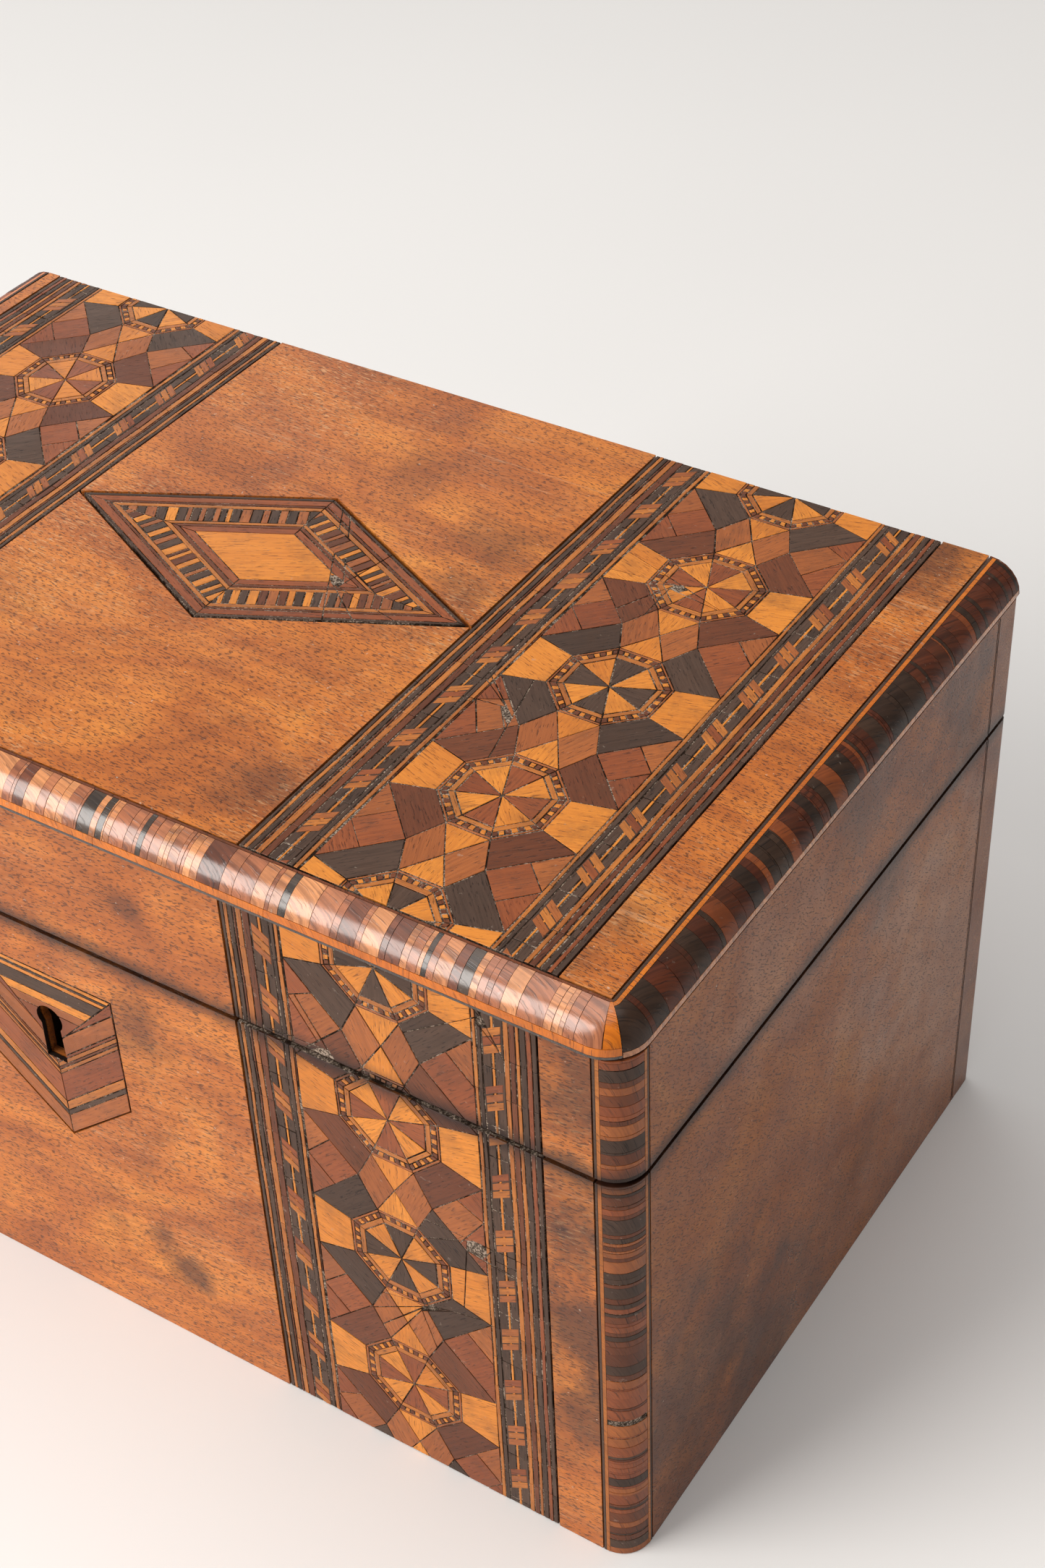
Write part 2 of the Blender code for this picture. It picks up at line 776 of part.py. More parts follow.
def lid_frame(lid):
    """Four rails and the top board, with recesses for the inlay and the hinges."""
    front = front_board("lid_front_rail", LID_BOTTOM, RAIL_TOP, lid)
    side_walls("lid", LID_BOTTOM, RAIL_TOP, lid)
    back = back_board("lid_back_rail", LID_BOTTOM, RAIL_TOP, lid)
    board = box(
        "lid_top_board",
        (-MOULDING_INNER_X, -MOULDING_INNER_Y, BOARD_BOTTOM),
        (MOULDING_INNER_X, HALF_Y, HEIGHT),
        "walnut",
        lid,
    )
    for side in (-1, 1):
        x = band_centre(side)
        half = BAND_WIDTH / 2 + GAP
        depth = FRONT + INLAY_THICK + GAP
        cut_box(front, (x - half, FRONT - MM, LID_BOTTOM - MM), (x + half, depth, RAIL_TOP + MM))
        cut_box(
            board,
            (x - half, -HALF_Y, HEIGHT - INLAY_THICK - GAP),
            (x + half, HALF_Y + MM, HEIGHT + MM),
        )
        cut_hinge_mortise(back, side, LID_BOTTOM - MM, LID_BOTTOM + LEAF + GAP)
        for screw_x in hinge_screw_xs(side):
            cut_screw_hole(back, (screw_x, hinge_screw_y()), LID_BOTTOM, 1)
    bm = bmesh.new()
    prism(bm, lozenge(GAP), HEIGHT - INLAY_THICK - GAP, HEIGHT + MM)
    cut(board, bm)


def lid_inlay(lid):
    for side, name in ((-1, "left"), (1, "right")):
        x = band_centre(side)
        box(
            f"lid_top_band_{name}",
            (x - BAND_WIDTH / 2, -MOULDING_INNER_Y, HEIGHT - INLAY_THICK),
            (x + BAND_WIDTH / 2, HALF_Y, HEIGHT),
            "parquetry",
            lid,
        )
    bm = bmesh.new()
    prism(bm, lozenge(-GAP), HEIGHT - INLAY_THICK, HEIGHT)
    finish("lozenge_inlay", bm, "parquetry", lid)


def edge_mouldings(lid):
    """Quarter-round crossbanding along the lid's front and sides, mitred at the front corners."""
    centre = (HALF_X - TURN_R, FRONT + TURN_R)
    turn = math.pi / 4
    front = []
    for angle in [-math.pi / 2 + turn * i / 4 for i in range(5)]:
        proud = EDGE_PROUD * (1 - (angle + math.pi / 2) / turn)
        front.append((centre, angle, proud))
    path = [((-c[0], c[1]), math.pi - a, p) for c, a, p in reversed(front)] + front
    sweep("lid_moulding_front", path, lid)
    for side, name in ((-1, "left"), (1, "right")):
        path = [(centre, -turn + turn * i / 4, 0.0) for i in range(5)]
        path.append(((centre[0], HALF_Y), 0.0, 0.0))
        if side < 0:
            path = [((-c[0], c[1]), math.pi - a, p) for c, a, p in path]
        sweep(f"lid_moulding_{name}", path, lid)


def sweep(name, path, parent):
    """Sweeps the quarter-round along stations of (centre of turn, outward angle, proud)."""
    bm = bmesh.new()
    sections = []
    for centre, angle, proud in path:
        mitre = abs(math.sin(2 * angle)) > 0.999
        section = []
        for n, z in moulding_profile(proud):
            reach = TURN_R - n
            point = (
                centre[0] + reach * math.cos(angle),
                centre[1] + reach * math.sin(angle),
                BOARD_BOTTOM + z,
            )
            section.append(point)
        if mitre:
            section = back_off(section, angle, centre, path)
        sections.append([bm.verts.new(p) for p in section])
    for a, b in zip(sections, sections[1:]):
        for i in range(len(a)):
            j = (i + 1) % len(a)
            bm.faces.new((a[i], a[j], b[j], b[i]))
    bm.faces.new(sections[0])
    bm.faces.new(sections[-1][::-1])
    finish(name, bm, "crossbanding", parent, smooth=40)


def back_off(section, angle, centre, path):
    """Moves a mitre face back along the sweep by half a gap."""
    others = [c[1] for c in path if abs(math.sin(2 * c[1])) < 0.999]
    nearest = min(others, key=lambda a: abs(a - angle))
    sign = 1 if nearest > angle else -1
    step = GAP / 2
    along = (-math.sin(angle) * sign * step, math.cos(angle) * sign * step)
    return [(x + along[0], y + along[1], z) for x, y, z in section]


def moulding_profile(proud):
    """Distance in from the face, and height, around the quarter-round."""
    points = []
    for i in range(EDGE_STEPS + 1):
        t = math.pi / 2 * i / EDGE_STEPS
        points.append((EDGE_R - (EDGE_R + proud) * math.cos(t), EDGE_R * math.sin(t)))
    points.append((EDGE_R, 0.0))
    return points


def lid_lining(lid):
    box(
        "lid_lining",
        (-ROOM_X, -ROOM_Y, BOARD_BOTTOM - GAP - LINING_THICK),
        (ROOM_X, ROOM_Y, BOARD_BOTTOM - GAP),
        "velvet",
        lid,
    )


def main():
    for obj in list(bpy.data.objects):
        bpy.data.objects.remove(obj)
    lid = empty("lid_hinge_axis", (0, AXIS_Y, AXIS_Z))
    carcass()
    corners("body", 0, BODY_TOP)
    front_bands("body", 0, BODY_TOP)
    escutcheon()
    liners()
    compartments()
    inner_lids()
    lid_frame(lid)
    corners("lid", LID_BOTTOM, RAIL_TOP, lid)
    front_bands("lid", LID_BOTTOM, RAIL_TOP, lid)
    lid_inlay(lid)
    edge_mouldings(lid)
    lid_lining(lid)
    lock()
    link_plate(lid)
    hinges(lid)


main()
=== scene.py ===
"""Looks of the parquetry tea caddy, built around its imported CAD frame.

Metres, +Z up, +X to the right along the front, +Y to the back. The inlaid bands, the lozenge, the
escutcheon, the edge mouldings and the corner posts are laid here piece by piece in place of their
plain CAD slabs. Every other CAD node stays and gets its material.
"""

import math
import random

import bpy
from mathutils import Matrix, Vector, noise


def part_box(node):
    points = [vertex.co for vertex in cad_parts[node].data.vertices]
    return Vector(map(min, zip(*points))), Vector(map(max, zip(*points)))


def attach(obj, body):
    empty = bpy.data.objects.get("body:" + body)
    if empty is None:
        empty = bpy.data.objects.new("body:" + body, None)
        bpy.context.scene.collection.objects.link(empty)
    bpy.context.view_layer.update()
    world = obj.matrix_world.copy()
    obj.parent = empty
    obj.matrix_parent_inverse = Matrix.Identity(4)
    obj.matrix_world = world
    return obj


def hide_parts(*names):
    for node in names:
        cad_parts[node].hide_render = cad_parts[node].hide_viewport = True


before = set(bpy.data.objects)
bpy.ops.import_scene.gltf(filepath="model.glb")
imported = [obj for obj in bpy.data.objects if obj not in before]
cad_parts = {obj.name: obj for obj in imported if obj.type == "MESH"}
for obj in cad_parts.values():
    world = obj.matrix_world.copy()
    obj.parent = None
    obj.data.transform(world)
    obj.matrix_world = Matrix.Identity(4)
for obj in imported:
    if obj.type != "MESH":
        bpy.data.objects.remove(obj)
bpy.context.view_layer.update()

MM = 0.001
FRONT_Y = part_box("body_front_wall")[0].y
BACK_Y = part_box("body_back_wall")[1].y
SIDE_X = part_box("body_right_wall")[1].x
LID_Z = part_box("lid_top_board")[1].z
SEAM_Z = (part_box("body_front_wall")[1].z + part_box("lid_front_rail")[0].z) / 2

# Camera, on the side of the front right corner
CAMERA_AZIMUTH = 34.24
CAMERA_ELEVATION = 39.29
CAMERA_ROLL = -2.70
CAMERA_DISTANCE = 0.50
CAMERA_TARGET = (0.0282, 0.0363, 0.0645)
CAMERA_LENS = 58.3

# Veneer: a piece is set in by about GLUE all round, and slits part the pieces of a curved edge
GLUE = 0.105 * MM
SLIT = 0.04 * MM
EASE = 0.06 * MM
PIECE_DEPTH = 0.38 * MM
BED_DEPTH = 0.13 * MM
BED_EDGE = 0.1 * MM
SMALLEST_STEP = 0.02 * MM
WARP = 0.22 * MM
WARP_SIZE = 9.0 * MM

# One parquetry wheel: distances of its octagons' sides from its centre
WHEEL_OUTER = 9.95 * MM
CHECK_OUTER = 9.4 * MM
CHECK_INNER = 8.3 * MM
WHEEL_INNER = 7.2 * MM
CHECKS_PER_SIDE = 7
MOSAIC_HALF = 17.5 * MM
WING_HALF = 6.2 * MM
KITE_REACH = 7.4 * MM

# The lines beside the mosaic, as (start, end, wood) in mm from the band's centre to each side
INNER_LINES = (
    (29.1, 28.3, "ebony"),
    (28.3, 27.5, "satin_line"),
    (27.5, 26.5, "ebony"),
    (26.5, 26.0, "kingwood"),
    (26.0, 24.8, "satin_line"),
    (24.8, 23.4, "kingwood"),
    (19.6, 18.7, "ebony"),
    (18.7, 17.8, "satin_line"),
    (17.8, 17.5, "kingwood"),
)
OUTER_LINES = (
    (17.5, 18.3, "satin_line"),
    (18.3, 19.2, "ebony"),
    (23.2, 24.2, "satin_line"),
    (24.2, 25.3, "kingwood"),
    (25.3, 26.1, "satin_line"),
    (26.1, 27.2, "ebony"),
    (27.2, 28.1, "rosewood"),
    (28.1, 29.1, "ebony"),
)
LINE_STEP = 8 * MM
LINE_OVERLAP = 0.12 * MM

# Rope strips between those lines. Their links are of three strips each
INNER_ROPE = (23.4, 19.6)
OUTER_ROPE = (19.2, 23.2)
ROPE_PITCH = 12.6 * MM
ROPE_LINK = 5.6 * MM
ROPE_CORE = 0.6 * MM
ROPE_SUNK = 0.05 * MM
LINK_MARGIN = 0.25 * MM
LINK_MIX = (
    ("satin_line", "rosewood", "satin_line"),
    ("walnut_inlay", "satin_line", "walnut_inlay"),
    ("satin_line", "walnut_inlay", "rosewood"),
)

# How the wheels and ropes are placed: a wheel's height, the wheels' pitch, and the links' leans in mm
TOP_BAND = {"wheel_at": 2.0 * MM, "period": 32.75 * MM, "leans": (1.2, -1.2)}
FRONT_BAND = {"wheel_at": 53.2 * MM, "period": 33.3 * MM, "leans": (-1.1, 1.1)}

# Chips knocked out of the veneer, as (across, along, half width, half height, turn) in mm and degrees
TOP_CHIPS = ((65.9, 32.0, 1.5, 1.0, 20), (59.0, -12.7, 2.6, 0.7, -45))
LID_CHIPS = ((58.4, 94.9, 2.3, 1.9, 0), (89.2, 118.1, 0.9, 1.0, 0))
BODY_CHIPS = ((85.6, 65.0, 2.4, 1.9, 50), (74.8, 43.2, 2.6, 0.6, 35))
LOZENGE_CHIPS = ((12.3, 4.4, 2.0, 1.2, 155),)
CHIP_REACH = 4 * MM

# Lozenge layers, as parts of its full size
LOZENGE_LAYERS = (
    (1.0, 0.965, "ebony"),
    (0.965, 0.88, "rosewood"),
    (0.88, 0.845, "kingwood"),
    (0.845, 0.79, "satin_line"),
    (0.56, 0.515, "satin_line"),
    (0.515, 0.47, "kingwood"),
    (0.47, 0.385, "rosewood"),
)
LOZENGE_BARS = (0.79, 0.56)
LOZENGE_HEART = 0.385
PALE_BARS = ("boxwood", "walnut_inlay")
DARK_BARS = ("ebony", "ebony", "kingwood")
BED_SCALE = 0.995

# Strips of the shield round the keyhole: down from its top, and up from its lower edges
SHIELD_TOP = (
    (0.9, "boxwood"),
    (0.6, "ebony"),
    (0.9, "boxwood"),
    (3.2, "ebony"),
    (2.1, "boxwood"),
    (2.0, "walnut_inlay"),
    (9.0, "rosewood"),
)
SHIELD_WING = (
    (3.4, "walnut_inlay"),
    (0.9, "ebony"),
    (1.8, "satin_line"),
    (5.2, "rosewood"),
    (0.8, "satin_line"),
    (0.5, "kingwood"),
    (0.8, "satin_line"),
    (0.6, "rosewood"),
    (3.4, "walnut_inlay"),
    (12.0, "rosewood"),
)
SHIELD_SHOULDER = 13.9 * MM
SHIELD_FORK = 22.6 * MM

# Keyhole, up from the foot of the shield
KEY_HEAD = 28.8 * MM
KEY_HEAD_R = 2.9 * MM
KEY_NECK = 2.15 * MM
KEY_FOOT = 19.0 * MM
KEY_FOOT_HALF = 2.3 * MM

# Edge moulding and corner posts. LINE_GAP is a part of the quarter-round
EDGE_R = 6.0 * MM
EDGE_PROUD = 0.6 * MM
TURN_R = 6.3 * MM
CORNER_R = 5.5 * MM
CORNER_FLAT = 0.5 * MM
SHELL = 1.3 * MM
GLUE_DOWN = 0.10 * MM
CORE_GAP = 0.1 * MM
LINE_GAP = 0.008
BACK_CAP = 0.4 * MM
MITRE = 2.5 * MM
POST_CORE_EDGE = 0.05 * MM
POST_EBONY = 0.42 * MM
POST_LINE = (0.48 * MM, 1.1 * MM)
POST_BARS = 1.15 * MM
POST_DENT = 36.5 * MM
LINE_LENGTHS = (24 * MM, 40 * MM)
BAR_WIDTHS = (0.7 * MM, 4.6 * MM)
POST_BAR_WIDTHS = (0.6 * MM, 3.0 * MM)

# Woods of the crossbanding, as often as they come up
POST_MIX = ("rosewood",) * 3 + ("kingwood",) * 2 + ("ebony",) * 2 + ("walnut_inlay",) * 2
# The front moulding's lighter copies of rosewood, kingwood and walnut are painted light
FRONT_MIX = ("rosewood_edge",) * 4 + ("kingwood_edge",) + ("walnut_edge",) * 4 + ("ebony_edge",)
# The side mouldings' darker copies of kingwood and ebony are painted shade
SIDE_MIX = ("kingwood_dark",) * 3 + ("ebony_dark",) * 3 + ("rosewood",)

# Lines along the mouldings, as (start, end, wood) in parts of the quarter-round
FRONT_LINES = ((0.0, 0.05, "ebony_edge"), (0.055, 0.19, "orange_line"), (0.955, 0.995, "kingwood"))
SIDE_LINES = ((0.0, 0.10, "walnut_edge"), (0.87, 0.94, "orange_line"), (0.945, 0.995, "ebony"))

# Wax in the joints at the back of the side walls
FILL_LAP = 0.3 * MM
FILL_DEPTH = 1.2 * MM

FLOOR_HALF = 6.0

# Dark stain patches in the walnut, on the side wall partly painted shade, and pale patches of painted sheen
# on the side wall, as (x, y, z, radius, strength) in millimetres
TOP_STAINS = (
    (32, 28, 127, 13, 0.5),
    (33, 14, 127, 8, 0.4),
    (6, 41, 127, 12, 0.3),
    (36, -49, 127, 11, 0.55),
    (99, 60, 127, 14, 0.75),
    (101, -46, 127, 7, 0.5),
    (99, -58, 127, 6, 0.4),
    (-40, -30, 127, 12, 0.25),
)
FRONT_STAINS = (
    (18, -68, 81, 9, 0.55),
    (20, -68, 19, 6, 0.8),
    (15, -68, 27, 5, 0.7),
    (20, -68, 109, 4, 0.6),
    (107, -68, 112, 15, 0.8),
    (107, -68, 82, 16, 0.9),
    (107, -68, 58, 15, 0.85),
    (107, -68, 34, 14, 0.7),
    (-60, -68, 40, 12, 0.4),
)
# On the side wall: real dark blotches near the seam, and painted shade at the front and low down, where the
# wall reflects the box's shadow on the floor
SIDE_STAINS_AND_PAINTED_SHADE = (
    (114, 20, 90, 12, 0.8),
    (114, 48, 114, 22, 0.8),
    (114, 10, 119, 16, 0.7),
    (114, -48, 28, 34, 0.75),
    (114, -20, 12, 26, 0.7),
    (-114, -20, 60, 20, 0.6),
)
# Pale patches of painted sheen on the side wall, where it reflects the bright floor
SIDE_PAINTED_SHEEN = (
    (114, 54, 52, 46, 0.5),
    (114, 26, 72, 30, 0.35),
    (114, -20, 104, 26, 0.35),
)

chance = random.Random(1865)


# --- shader helpers


class Shader:
    """A Principled material and the few node kinds that these materials are made of."""

    def __init__(self, name):
        self.material = bpy.data.materials.new(name)
        self.material.use_nodes = True
        self.tree = self.material.node_tree
        self.bsdf = self.tree.nodes["Principled BSDF"]
        self.here = self.node("TexCoord", "Object")

    def node(self, kind, output, inputs=None, **values):
        """The output of a new node, with its inputs linked or set."""
        made = self.tree.nodes.new("ShaderNode" + kind)
        for key, value in values.items():
            setattr(made, key, value)
        for key, value in (inputs or {}).items():
            self.link(made.inputs[key], value)
        return made.outputs[output]

    def link(self, socket, value):
        if isinstance(value, bpy.types.NodeSocket):
            self.tree.links.new(value, socket)
        else:
            socket.default_value = value

    def set(self, **values):
        for key, value in values.items():
            self.link(self.bsdf.inputs[key.replace("_", " ")], value)

    def stretch(self, vector, scale, turn=(0, 0, 0)):
        rotation = [math.radians(a) for a in turn]
        return self.node("Mapping", "Vector", {"Vector": vector, "Scale": scale, "Rotation": rotation})

    def noise(self, vector, scale, detail, roughness, distortion=0.0):
        size = {"Vector": vector, "Scale": scale, "Detail": detail}
        return self.node("TexNoise", "Fac", {**size, "Roughness": roughness, "Distortion": distortion})

    def grained(self, vector, scale, detail, roughness, distortion=0.0):
        """Noise drawn out along the grain."""
        return self.noise(self.stretch(vector, scale), 1.0, detail, roughness, distortion)

    def ramp(self, value, *stops):
        """Stops are (position, grey level) or (position, colour)."""
        made = self.tree.nodes.new("ShaderNodeValToRGB")
        self.link(made.inputs["Fac"], value)
        elements = made.color_ramp.elements
        while len(elements) < len(stops):
            elements.new(0.5)
        for element, (position, level) in zip(elements, stops):
            element.position = position
            colour = level if isinstance(level, tuple) else (level, level, level)
            element.color = (*colour, 1.0)
        return made.outputs["Color"]

    def mix(self, amount, first, second, mode="MIX"):
        first, second = ((*side, 1.0) if isinstance(side, tuple) else side for side in (first, second))
        inputs = {0: amount, 6: first, 7: second}
        return self.node("Mix", 2, inputs, data_type="RGBA", blend_type=mode)

    def tinted(self, under, colour, value, *stops):
        """A colour laid over another as strongly as a ramp of a value says."""
        return self.mix(self.ramp(value, *stops), under, colour)

    def math(self, operation, first, second=0.0):
        return self.node("Math", 0, {0: first, 1: second}, operation=operation)

    def times(self, first, second):
        return self.math("MULTIPLY", first, second)

    def plus(self, first, second):
        return self.math("ADD", first, second)

    def minus(self, first, second):
        return self.math("SUBTRACT", first, second)

    def size(self, value):
        return self.math("ABSOLUTE", value)

    def distance(self, point):
        return self.node("VectorMath", "Value", {0: self.here, 1: point}, operation="DISTANCE")

    def coordinate(self, axis):
        return self.node("SeparateXYZ", axis, {0: self.here})

    def bump(self, height, distance, strength, normal=None):
        inputs = {"Height": height, "Distance": distance, "Strength": strength}
        if normal:
            inputs["Normal"] = normal
        return self.node("Bump", "Normal", inputs)

    def attribute(self, name, output):
        return self.node("Attribute", output, attribute_name=name)


# --- materials


def seam_painted_shadow(s, wood):
    """Painted shadow: a ragged near-black band along the seam between the case and the lid, where shade falls
    in the gap.
    """
    away = s.size(s.minus(s.coordinate("Z"), SEAM_Z))
    ragged = s.times(s.minus(s.noise(s.here, 260.0, 4, 0.6), 0.5), 0.0022)
    stops = ((0.0008, 1.0), (0.0012, 0.5), (0.0018, 0.0))
    return s.tinted(wood, (0.016, 0.007, 0.005), s.plus(away, ragged), *stops)


def with_stain_and_painted_light_patches(s, wood, stain_and_painted_light_patches, colour):
    """Ragged patches of a colour at given places: real stain, and on the side wall also painted shade and
    painted sheen.
    """
    ragged = s.minus(s.noise(s.here, 95.0, 5, 0.65), 0.5)
    for x, y, z, radius, strength in stain_and_painted_light_patches:
        size = radius * MM
        reach = s.plus(s.distance((x * MM, y * MM, z * MM)), s.times(ragged, 2.4 * size))
        wood = s.tinted(wood, colour, s.math("DIVIDE", reach, size), (0.2, strength), (1.0, 0.0))
    return wood


def scratched(s, wood):
    """Fine pale scratches in two directions, in patches."""
    for angle, width in ((27, 0.004), (-50, 0.003)):
        scratch = s.noise(s.stretch(s.here, (6, 260, 260), (0, 0, angle)), 1.0, 1, 0.4)
        line = s.ramp(s.size(s.minus(scratch, 0.5)), (0.0, 0.35), (width, 0.0))
        patch = s.ramp(s.noise(s.here, 30.0, 2, 0.5), (0.5, 0.0), (0.56, 1.0))
        wood = s.mix(s.times(line, patch), wood, (0.62, 0.34, 0.18))
    return wood


def aged_and_painted_shade_inside(s, wood):
    """Painted shade, partly age: wood that lies below the box's outer faces is darkened, as on the rim in the
    seam gap and on the walls of the keyhole.
    """
    from_side = s.minus(SIDE_X, s.size(s.coordinate("X")))
    from_face = s.minus(BACK_Y, s.size(s.coordinate("Y")))
    below_top = s.minus(LID_Z, s.coordinate("Z"))
    sunk = s.math("MINIMUM", s.math("MINIMUM", from_side, from_face), below_top)
    return s.tinted(wood, (0.055, 0.021, 0.012), sunk, (0.0007, 0.0), (0.0012, 1.0))


def polished_walnut(name, turn=(0, 0, 0), dark=0.0, shade=1.0, gloss=0.1, flecked=0.45, stain_and_painted_light_patches=(), painted_sheen=()):
    """Old french-polished walnut: amber to red-brown figure, pores, stain patches and fine scratches, with a
    painted shadow along the seam, painted shade below the outer faces, and patches of painted shade and
    painted sheen where given.

    The grain runs along X before turn is applied, in degrees. dark spreads the blotches, shade scales
    the figure's colours (its low value on the side walls is painted shade), and flecked is the strength of
    the pale flecks where the polish is worn.
    """
    s = Shader(name)
    lie = s.stretch(s.here, (1, 1, 1), turn)
    cloud = s.grained(lie, (20, 30, 30), 6, 0.6, 1.6)
    band = s.grained(lie, (9, 60, 60), 4, 0.55, 0.9)
    figure = s.plus(s.times(cloud, 0.68), s.times(band, 0.32))
    wood = s.ramp(figure, *((at, tuple(shade * c for c in colour)) for at, colour in WALNUT_FIGURE))
    streaks = s.grained(lie, (60, 900, 900), 4, 0.6, 0.3)
    wood = s.tinted(wood, (0.20, 0.050, 0.014), streaks, (0.35, 0.36), (0.58, 0.0))
    blotch = s.noise(s.here, 21.0, 5, 0.68, 0.8)
    wood = s.tinted(wood, (0.11, 0.034, 0.014), blotch, (0.55 - dark, 0.0), (0.72 - dark, 0.5))
    # Dark patches: real stain, on the side wall partly painted shade
    wood = with_stain_and_painted_light_patches(s, wood, stain_and_painted_light_patches, (0.085, 0.030, 0.016))
    # Pale patches of painted sheen
    wood = with_stain_and_painted_light_patches(s, wood, painted_sheen, (0.42, 0.24, 0.16))
    curl = s.grained(lie, (130, 260, 260), 3, 0.6, 0.8)
    wood = s.tinted(wood, (0.17, 0.045, 0.014), curl, (0.38, 0.13), (0.52, 0.0))
    wood = s.tinted(wood, (0.50, 0.24, 0.10), s.noise(s.here, 60.0, 5, 0.7), (0.5, 0.0), (0.8, 0.14))
    holes = s.ramp(s.grained(lie, (900, 3300, 3300), 2, 0.5), (0.56, 0.0), (0.62, 1.0))
    wood = s.mix(s.times(holes, 0.66), wood, (0.030, 0.010, 0.006))
    fleck = s.ramp(s.grained(lie, (420, 2300, 2300), 3, 0.55), (0.54, 0.0), (0.66, 1.0))
    worn = s.ramp(s.noise(s.here, 17.0, 4, 0.6), (0.50, 0.0), (0.62, flecked))
    wood = s.mix(s.times(fleck, worn), wood, (0.78, 0.46, 0.22))
    wood = s.tinted(wood, (0.62, 0.50, 0.40), s.noise(s.here, 1100.0, 2, 0.5), (0.73, 0.0), (0.76, 0.5))
    wood = scratched(s, wood)
    # Painted shadow along the seam between the case and the lid
    wood = seam_painted_shadow(s, wood)
    # Painted shade below the outer faces, partly age
    wood = aged_and_painted_shade_inside(s, wood)
    rough = s.ramp(s.noise(s.here, 45.0, 5, 0.65), (0.3, 0.26), (0.75, 0.46))
    normal = s.bump(s.noise(s.here, 55.0, 3, 0.5), 0.00018, 0.55)
    normal = s.bump(streaks, 0.00003, 0.6, normal)
    normal = s.bump(s.times(holes, -1.0), 0.00008, 0.8, normal)
    s.set(Base_Color=wood, Roughness=rough, Normal=normal)
    s.set(Specular_IOR_Level=0.24, Coat_Weight=gloss, Coat_Roughness=0.12)
    return s.material


def veneer(name, low, high, vein, rough=(0.3, 0.5), shine=0.25, coat=0.06, banded=0.0):
    """A species of inlay: its grain follows each piece, and every piece has a tint of its own."""
    s = Shader(name)
    grain = s.attribute("grain", "Vector")
    tint = s.attribute("tint", "Fac")
    fibres = s.grained(grain, (120, 2400, 1), 4, 0.6, 0.2)
    broad = s.grained(grain, (55, 300, 1), 3, 0.55, 0.6)
    wood = s.mix(s.plus(s.times(tint, 0.5), s.times(broad, 0.5)), low, high)
    wood = s.tinted(wood, vein, fibres, (0.36, 0.38), (0.58, 0.0))
    if banded:
        stripe = s.grained(grain, (18, 950, 1), 3, 0.6)
        wood = s.tinted(wood, tuple(c * 0.7 for c in vein), stripe, (0.40, banded), (0.55, 0.0))
    holes = s.ramp(s.grained(grain, (500, 3400, 1), 2, 0.5), (0.60, 0.0), (0.68, 0.6))
    wood = s.mix(holes, wood, tuple(c * 0.35 for c in vein))
    wood = s.tinted(wood, (0.075, 0.034, 0.018), s.noise(s.here, 120.0, 5, 0.7), (0.48, 0.0), (0.78, 0.5))
    wood = s.tinted(wood, (0.42, 0.33, 0.26), s.noise(s.here, 700.0, 3, 0.6), (0.68, 0.0), (0.76, 0.35))
    # Painted shadow along the seam between the case and the lid
    wood = seam_painted_shadow(s, wood)
    gloss = s.ramp(s.noise(s.here, 70.0, 4, 0.6), (0.3, rough[0]), (0.75, rough[1]))
    normal = s.bump(s.noise(s.here, 75.0, 3, 0.5), 0.00016, 0.5)
    normal = s.bump(fibres, 0.00003, 0.5, normal)
    normal = s.bump(s.times(holes, -1.0), 0.00006, 0.8, normal)
    s.set(Base_Color=wood, Roughness=gloss, Normal=normal)
    s.set(Specular_IOR_Level=shine, Coat_Weight=coat, Coat_Roughness=0.16)
    return s.material


def glue_bed():
    """Old glue and dust in the joints between the pieces of veneer."""
    s = Shader("glue_and_dust")
    dust = s.ramp(s.noise(s.here, 170.0, 6, 0.8), (0.45, 0.0), (0.57, 1.0))
    crumbs = s.ramp(s.noise(s.here, 2800.0, 2, 0.6), (0.45, 0.15), (0.6, 1.0))
    dirt = s.mix(s.times(dust, crumbs), (0.018, 0.010, 0.006), (0.40, 0.31, 0.24))
    s.set(Base_Color=dirt, Roughness=0.95, Specular_IOR_Level=0.1)
    return s.material


def shadow_wood():
    """Painted shade: near-black for the cut walls inside the keyhole, where shade falls."""
    s = Shader("keyhole_painted_shade")
    s.set(Base_Color=(0.012, 0.006, 0.004, 1.0), Roughness=0.9, Specular_IOR_Level=0.1)
    return s.material


def plain_wood(name, low, high, rough, turn=(0, 0, 0)):
    """Unveneered wood, with its grain along X before turn is applied."""
    s = Shader(name)
    lie = s.stretch(s.here, (1, 1, 1), turn)
    broad = s.grained(lie, (9, 70, 70), 4, 0.55, 0.8)
    fibres = s.grained(lie, (30, 900, 900), 4, 0.6, 0.2)
    wood = s.mix(s.ramp(broad, (0.3, 0.0), (0.7, 1.0)), low, high)
    wood = s.tinted(wood, tuple(c * 0.4 for c in low), fibres, (0.4, 0.5), (0.62, 0.0))
    holes = s.ramp(s.grained(lie, (260, 2400, 2400), 2, 0.5), (0.6, 0.0), (0.68, 0.7))
    wood = s.mix(holes, wood, tuple(c * 0.25 for c in low))
    gloss = s.ramp(s.noise(s.here, 60.0, 4, 0.6), (0.3, rough - 0.08), (0.75, rough + 0.1))
    normal = s.bump(fibres, 0.00005, 0.6)
    normal = s.bump(s.times(holes, -1.0), 0.00008, 0.8, normal)
    s.set(Base_Color=wood, Roughness=gloss, Normal=normal)
    return s.material


